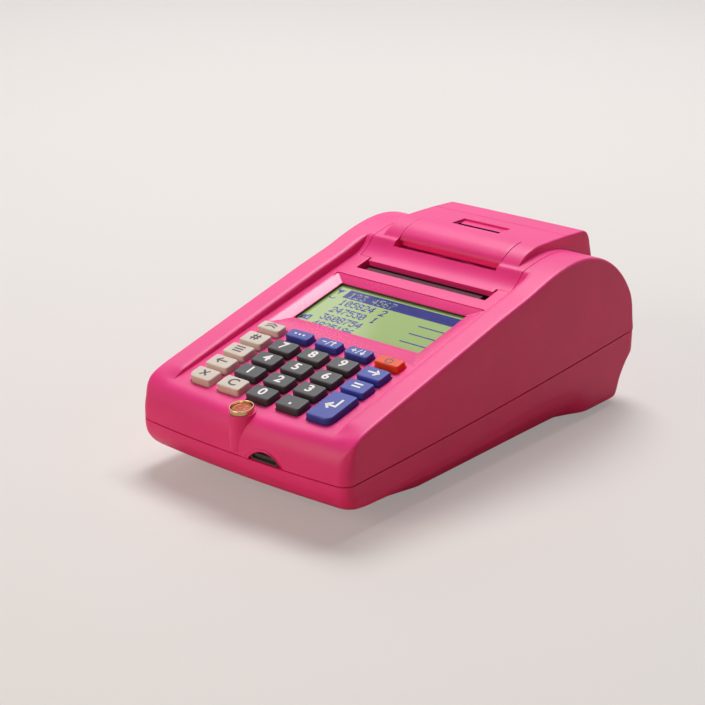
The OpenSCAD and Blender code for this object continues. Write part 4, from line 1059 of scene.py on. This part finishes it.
def bossRings():
    # from the tilted top edge down to a level circle inside the front wall
    a, centre = turns(64), onPanel(cup["x"], cup["s"], 0.0)
    x, y = cup["bossFoot"] * np.cos(a), cup["bossFoot"] * np.sin(a)
    foot = np.stack([cup["x"] + x, centre[1] + cup["footY"] + y, np.full(64, cup["footZ"])], -1)
    r, n, e = cup["bossRadius"], cup["seat"], cup["bossEdge"]
    edge = [discLoop(r - e + e * math.sin(t), n - e + e * math.cos(t)) for t in np.linspace(0, 1.3, 5)]
    body = [edge[-1] + (foot - edge[-1]) * t for t in np.linspace(0.06, 1, 10)]
    seat = [discLoop(radius, n) for radius in (3.0, cup["radius"] - 0.05, cup["radius"] + 0.05)]
    return seat + edge + body


def sealPoints():
    # pressed seal over the share f of its radius and the angle a: bell-shaped rises at 0.80 and 0.25,
    # a fall at the edge, 13 ridges about 0.58 and three soft waves towards the middle
    def bell(middle, width):
        return np.exp(-((f - middle) / width) ** 2)

    f, a = np.concatenate([[0.001], np.linspace(0.02, 1, 34)])[:, None], turns(96)
    relief = 0.10 * bell(0.80, 0.06) + 0.10 * bell(0.25, 0.12) - 0.35 * np.maximum(0, f - 0.93) / 0.07
    ridges = 0.045 * np.cos(13 * a + 5 * f) * bell(0.58, 0.10) + 0.03 * np.sin(3 * a + 7 * f) * (1 - f)
    return cupPoint(f * (cup["radius"] - cup["wall"] - 0.02), a, cup["top"] - cup["sunk"] + relief + ridges)


def buildCup(brass, copper):
    r, top, seat, floor = cup["radius"], cup["top"], cup["seat"], cup["floor"]
    inner = r - cup["wall"]
    skin = Skin()
    # lathe: outer wall with a rolled rim, then down the inside to the floor
    profile = ((r - 0.25, seat - 0.5), (r - 0.05, seat), (r, seat + 0.25), (r, top - 0.3),
               (r - 0.06, top - 0.1), (r - 0.17, top), (inner + 0.1, top), (inner, top - 0.12),
               (inner, floor), (0.01, floor))
    skin.rings([discLoop(a, n) for a, n in profile])
    skin.piece("seal_ring", [brass], "body", ["seal_cup"], "cup_brass", sharp=40)
    skin = Skin()
    skin.rings(sealPoints(), flip=True)
    skin.piece("seal_disc", [copper], "body", ["seal"], "seal_red", sharp=60)


# tear strip in the ticket slot
strip = dict(half=29.2, teeth=80, front=13.55, rear=17.0, sink=1.05, height=3.2, ribRise=0.22,
             toothReach=0.35)


def buildStrip(material):
    # a ledge behind the slot's front edge whose ribs run front to rear and end in teeth
    skin = Skin()
    n = strip["teeth"] * 2
    x, comb = np.linspace(-strip["half"], strip["half"], n + 1), np.arange(n + 1) % 2
    front, rear, reach = strip["front"], strip["rear"], strip["toothReach"]
    z = panelHeight(front) - strip["sink"]
    foot = z - strip["height"]
    # y, height, share of the rib's rise, reach of the teeth
    path = ((front - 0.1, foot, 0, 0), (front - 0.1, z - 0.2, 0, 0), (front, z, 0.25, 0),
            (front + 0.9, z + 0.25, 1, 0), (rear - 0.7, z + 0.62, 1, reach), (rear, z + 0.5, 1, reach),
            (rear, z - 0.5, 0.2, 0), (rear - 0.5, foot, 0, 0))
    p = [np.stack([x, y + comb * out, h + comb * share * strip["ribRise"]], -1) for y, h, share, out in path]
    skin.grid(np.stack(p))
    order = range(len(path))
    for side, corners in ((0, order), (-1, order[::-1])):
        skin.polygons([row[side] for row in p], [corners])
    skin.piece("tear_strip", [material], "body", ["tear_bar"], "tear_steel", sharp=20)


# connector behind the port
plug = dict(face=1.0, low=(8.4, 20.55), high=(21.0, 23.2), radius=0.8, proud=0.75, back=1.6, wall=0.3,
            tongueLow=(9.6, 21.8), tongueHigh=(19.8, 22.3), plateGrow=0.4, plateFoot=1.2, plateDepth=2.3)


def plugLoop(low, high, radius, grow, dy):
    # a rounded rectangle that follows the bowed front, dy behind the socket's face
    x, z = roundedLoop(12, 6, low, high, radius, grow)
    return np.stack([x, case["frontY"] + bow(x) + plug["face"] + dy, z], -1)


def buildConnector(dark, metalCase):
    # a dark plate that fills the arch, and on it a metal case with a tongue inside
    skin = Skin()
    grown, proud, wall, back = plug["plateGrow"], plug["proud"], plug["wall"], plug["back"]
    x, z = archLine(port["x"], port["half"] + grown, port["height"] + grown, port["points"])
    y = case["frontY"] + bow(x) + plug["face"] + back
    low = np.stack([x, y, np.full(len(x), case["seamZ"] - plug["plateFoot"])], -1)
    skin.grid(np.stack([low, np.stack([x, y, np.maximum(z, case["seamZ"] - 1.0)], -1)]))
    skin.grid(np.stack([low - [0, plug["plateDepth"], 0], low]))
    profile = ((0, back + 0.1), (0, 0.1 - proud), (-0.06, -proud), (-wall, -proud), (-wall - 0.06, back))
    skin.rings([plugLoop(plug["low"], plug["high"], plug["radius"], *step) for step in profile], slot=1)
    tongue = plug["tongueLow"], plug["tongueHigh"], 0.1, 0.0
    skin.rings([plugLoop(*tongue, dy) for dy in (back, 0.0)], cap=True)
    skin.piece("port_socket", [dark, metalCase], "body", ["usb_socket"], "steel", sharp=30)


# finishes
class Value:
    # a number in a shader: sums and products with it add Math nodes
    def __init__(self, finish, socket):
        self.finish, self.socket = finish, socket

    def math(self, operation, a, b):
        return self.finish.node("Math", dict(operation=operation), a, b)

    def __add__(self, other):
        return self.math("ADD", self, other)

    def __mul__(self, other):
        return self.math("MULTIPLY", self, other)

    def __sub__(self, other):
        return self.math("SUBTRACT", self, other)

    def __rsub__(self, other):
        return self.math("SUBTRACT", other, self)

    __radd__, __rmul__ = __add__, __mul__


socketNames = dict(baseColor="Base Color", roughness="Roughness", metallic="Metallic", coat="Coat Weight",
                   ior="IOR", specular="Specular IOR Level", normal="Normal")


class Finish:
    # a material's node tree with one method for any node
    def __init__(self, name, **constants):
        self.material = bpy.data.materials.new(name)
        self.material.use_nodes = True
        self.tree = self.material.node_tree
        self.shader = self.tree.nodes["Principled BSDF"]
        self.set(**constants)

    @classmethod
    def of(cls, tree, shader):
        # the same methods on a node tree that exists already
        made = cls.__new__(cls)
        made.tree, made.shader = tree, tree.nodes[shader]
        return made

    def put(self, socket, value):
        # a node's value is linked, a number or a colour is set
        if isinstance(value, Value):
            self.tree.links.new(value.socket, socket)
        else:
            socket.default_value = (*value, 1) if socket.type == "RGBA" else value

    def node(self, kind, settings=None, *values, out=0, **named):
        made = self.tree.nodes.new("ShaderNode" + kind)
        for key, value in (settings or {}).items():
            setattr(made, key, value)
        for socket, value in zip(made.inputs, values):
            self.put(socket, value)
        for key, value in named.items():
            self.put(made.inputs[key.replace("_", " ")], value)
        return Value(self, made.outputs[out])

    def noise(self, scale, detail, roughness=0.5, stretch=None):
        at = self.node("TexCoord", out="Object")
        if stretch:
            at = self.node("Mapping", None, at, Scale=stretch)
        return self.node("TexNoise", None, Vector=at, Scale=scale, Detail=detail, Roughness=roughness,
                         out="Fac")

    def seen(self):
        # 1 for rays that end in the eye, straight or by way of a mirror or a clear piece
        rays = ("Is Camera Ray", "Is Glossy Ray", "Is Transmission Ray")
        straight, mirrored, passed = (self.node("LightPath", out=ray) for ray in rays)
        return straight + mirrored + passed

    def ramp(self, value, low, high):
        # 0 at low, 1 at high
        return self.node("MapRange", None, value, low, high)

    def mix(self, share, a, b):
        made = self.node("Mix", dict(data_type="RGBA"), share, out=2)
        inputs = made.socket.node.inputs
        self.put(inputs[6], a)
        self.put(inputs[7], b)
        return made

    def bump(self, height, strength, distance):
        return self.node("Bump", None, Strength=strength, Distance=distance, Height=height)

    def set(self, **values):
        for key, value in values.items():
            self.put(self.shader.inputs[socketNames[key]], value)

    def overlay(self, share, shown, output):
        # a share of the tree's output shows another shader
        both = self.node("MixShader", None, share, Value(self, self.shader.outputs[0]), shown)
        self.put(self.tree.nodes[output].inputs["Surface"], both)


def linear(r, g, b):
    # display colour 0-255 to scene-linear
    c = np.array([r, g, b]) / 255
    c = np.where(c <= 0.04045, c / 12.92, ((c + 0.055) / 1.055) ** 2.4)
    return tuple(float(v) for v in c)


def mouldedPlastic(name, color, rough=0.36, grain=0.06, tone=0.06, specular=0.5):
    # moulded plastic: fine spark-eroded grain, faint flow tone, rubbed smoother and paler on edges
    f = Finish(name, ior=1.5, specular=specular)
    broad, fine, speck = f.noise(38, 3, 0.55), f.noise(2600, 2, 0.6), f.noise(900, 3, 0.6)
    rubbed = f.ramp(f.node("NewGeometry", out="Pointiness"), 0.53, 0.62)
    dark = [c * (1 - tone) for c in color]
    light = [min(1, c * (1 + tone) + 0.004) for c in color]
    worn = [min(1, c * 0.8 + 0.16) for c in color]
    shade = f.mix(rubbed * 0.125, f.mix(f.ramp(broad, 0.35, 0.65), dark, light), worn)
    roughness = rough + (speck - 0.5) * 0.10 + (broad - 0.5) * 0.08 - rubbed * 0.06
    f.set(baseColor=shade, roughness=roughness, normal=f.bump(fine * 0.6 + speck * 0.4, grain, 0.0002))
    return f.material


def metal(name, color, rough=0.3, scratches=(400, 20, 400)):
    # rolled or machined metal: stretched fine lines in roughness and bump, dull spots
    f = Finish(name, metallic=1.0)
    lines, spots = f.noise(6, 6, 0.7, stretch=scratches), f.noise(120, 3, 0.6)
    shade = f.mix(f.ramp(spots, 0.4, 0.7), color, [c * 0.82 for c in color])
    roughness = rough + (lines - 0.5) * 0.18 + (spots - 0.5) * 0.12
    f.set(baseColor=shade, roughness=roughness, normal=f.bump(lines, 0.12, 0.0001))
    return f.material


def rubber(name, color):
    # dull, with dust in soft patches and a fine grain
    f = Finish(name, ior=1.48)
    dust = f.noise(300, 5, 0.65)
    shade = f.mix(f.ramp(dust, 0.5, 0.75), color, [c + 0.04 for c in color])
    f.set(baseColor=shade, roughness=0.7 + (dust - 0.5) * 0.2, normal=f.bump(f.noise(1500, 3), 0.2, 0.0002))
    return f.material


def circuitBoard(name):
    # green solder mask over copper tracks that run in straight lanes
    f = Finish(name, ior=1.5, coat=0.3)
    place = f.node("TexCoord", out="Object")
    lanes = f.node("TexBrick", dict(offset=0.37), Vector=place, Scale=220.0, Mortar_Size=0.16, out="Fac")
    cloud = f.noise(200, 3)
    shade = f.mix(lanes, (0.01, 0.10, 0.035), (0.02, 0.17, 0.06))
    shade = f.mix(f.ramp(cloud, 0.66, 0.7), shade, (0.5, 0.48, 0.4))
    f.set(baseColor=shade, roughness=0.3 + cloud * 0.15, normal=f.bump(lanes, 0.2, 0.0001))
    return f.material


pinkColor, keyFinish = (0.86, 0.036, 0.262), dict(rough=0.46, specular=0.34)
plastics = dict(
    inner_black=((0.02, 0.02, 0.022), {}), display_grey=((0.10, 0.08, 0.08), {}),
    head_black=((0.015, 0.015, 0.018), {}), gear_white=((0.75, 0.75, 0.7), {}),
    battery_wrap=((0.03, 0.12, 0.35), {}),
    key_grey=(linear(60, 62, 67), keyFinish), key_cream=(linear(214, 204, 194), keyFinish),
    key_blue=(linear(54, 72, 168), keyFinish), key_orange=(linear(236, 74, 12), keyFinish),
    shell_pink=(pinkColor, dict(rough=0.40, grain=0.05, tone=0.03, specular=0.36)),
    shell_polished=(pinkColor, dict(rough=0.26, grain=0.02, tone=0.03, specular=0.42)),
    window_smoke=((0.02, 0.022, 0.025), dict(rough=0.12, grain=0.01)),
    lens_green=(linear(160, 192, 118), dict(rough=0.10, grain=0.004, tone=0.02)),
    screen_ink=(linear(36, 42, 158), dict(rough=0.10, grain=0.004, tone=0.02)),
    tear_steel=(linear(88, 38, 52), dict(rough=0.55, grain=0.05, tone=0.1, specular=0.2)),
    mark_white=((0.82, 0.82, 0.82), dict(rough=0.45, grain=0.02, tone=0.02)),
    mark_black=((0.02, 0.02, 0.022), dict(rough=0.45, grain=0.02, tone=0.02)))
metals = dict(
    steel=((0.55, 0.56, 0.58), {}), brass_pinion=((0.6, 0.42, 0.18), {}),
    cup_brass=((0.60, 0.40, 0.21), dict(rough=0.2, scratches=(60, 60, 900))),
    seal_red=((0.22, 0.055, 0.03), dict(rough=0.42, scratches=(300, 300, 300))))
rubbers = dict(mat_grey=(0.5, 0.51, 0.53), roller_rubber=(0.012, 0.012, 0.014),
               foot_rubber=(0.012, 0.012, 0.012))


def makeFinishes():
    made = {name: mouldedPlastic(name, color, **look) for name, (color, look) in plastics.items()}
    made.update({name: metal(name, color, **look) for name, (color, look) in metals.items()})
    made.update({name: rubber(name, color) for name, color in rubbers.items()})
    made["board_green"] = circuitBoard("board_green")
    return made


def dressFrame(made):
    # every part of the frame that is still shown takes its slot's finish
    slotOf = {p["node"]: p["material_slot"] for p in frame["record"]["subparts"]}
    for name, thing in frame["nodes"].items():
        thing.data.materials.clear()
        thing.data.materials.append(made[slotOf[name]])


# stage
stage = dict(floorHalf=4.0, glow=0.3, glowColor=(0.90, 0.87, 0.85), table=(0.58, 0.35, 0.23),
             room=(1, 0.86, 0.74), roomLight=0.05, roomShown=(0.80, 0.77, 0.75), aim=(0, 0, 0.03),
             lens=95.49, sensor=36, place=(0.4439, -0.5488, 0.2938), back=(0.6084, -0.7139, 0.3465))
lamps = (dict(place=(-0.44, 0.60, 1.40), shape="DISK", size=0.8, power=18.4, color=(1, 0.985, 0.99), turn=0),
         dict(place=(-1.13, 0.66, 0.78), shape="SQUARE", size=0.56, power=1.5, color=(1, 0.97, 1), turn=60),
         dict(place=(-0.55, -1.5, 0.7), shape="DISK", size=1.0, power=11.0, color=(1, 0.80, 0.66), turn=0),
         dict(place=(0.75, -0.85, 0.15), shape="DISK", size=0.4, power=0.75, color=(1, 0.50, 0.28), turn=0),
         dict(place=(0.10, 0.74, 1.40), shape="DISK", size=0.34, power=3.8, color=(1, 1, 1), turn=0))


def buildFloor():
    mesh = bpy.data.meshes.new("floor")
    g = stage["floorHalf"]
    mesh.from_pydata([(-g, -g, 0), (g, -g, 0), (g, g, 0), (-g, g, 0)], [], [(0, 1, 2, 3)])
    f = Finish("floor", roughness=0.55, specular=0.2)
    pale = f.mix(f.noise(3, 2), (0.70, 0.68, 0.66), (0.74, 0.72, 0.70))
    # seen directly or in a mirror the floor is pale; to the light it throws back it is warm, like a table
    f.set(baseColor=f.mix(f.seen(), stage["table"], pale))
    glow = f.node("Emission", None, stage["glowColor"], 1.0)
    f.overlay(f.node("LightPath", out="Is Camera Ray") * stage["glow"], glow, "Material Output")
    mesh.materials.append(f.material)
    addObject("floor", mesh)


def buildRoom():
    world = bpy.data.worlds.new("room")
    world.use_nodes = True
    # the room is dim and warm to the light it gives, and pale where it is seen
    room = Finish.of(world.node_tree, "Background")
    room.put(room.shader.inputs["Color"], stage["room"])
    room.put(room.shader.inputs["Strength"], stage["roomLight"])
    room.overlay(room.seen(), room.node("Background", None, stage["roomShown"], 1.0), "World Output")
    bpy.context.scene.world = world
    bpy.context.scene.view_settings.view_transform = "Standard"


def buildStage():
    buildFloor()
    for i, lamp in enumerate(lamps):
        data = bpy.data.lights.new(f"lamp{i}", "AREA")
        data.shape, data.size, data.energy = lamp["shape"], lamp["size"], lamp["power"]
        data.color = lamp["color"]
        thing = addObject(f"lamp{i}", data)
        thing.location = lamp["place"]
        aim = (Vector(lamp["place"]) - Vector(stage["aim"])).to_track_quat("Z", "Y")
        thing.rotation_euler = (aim @ Quaternion((0, 0, 1), math.radians(lamp["turn"]))).to_euler()
    buildRoom()
    camera = bpy.data.cameras.new("camera")
    camera.lens, camera.sensor_width = stage["lens"], stage["sensor"]
    camera.clip_start, camera.clip_end = 0.01, 20
    thing = addObject("camera", camera)
    thing.location = stage["place"]
    thing.rotation_euler = Vector(stage["back"]).to_track_quat("Z", "Y").to_euler()
    bpy.context.scene.camera = thing


buildStage()
finishes = makeFinishes()
dressFrame(finishes)
print("finishes:", len(finishes))
pink, black = finishes["shell_pink"], finishes["inner_black"]
buildTopShell(pink, finishes["shell_polished"])
buildBase(pink)
buildCover(pink, black)
buildFlap(pink)
buildScreen(finishes["lens_green"], finishes["screen_ink"], black)
buildCup(finishes["cup_brass"], finishes["seal_red"])
buildStrip(finishes["tear_steel"])
buildConnector(black, finishes["display_grey"])
for k in keys:
    slotName = keySlot(k["name"])
    mark = "mark_black" if slotName in ("key_cream", "key_orange") else "mark_white"
    buildKey(k, finishes[slotName], finishes[mark])
print("keys:", len(keys))
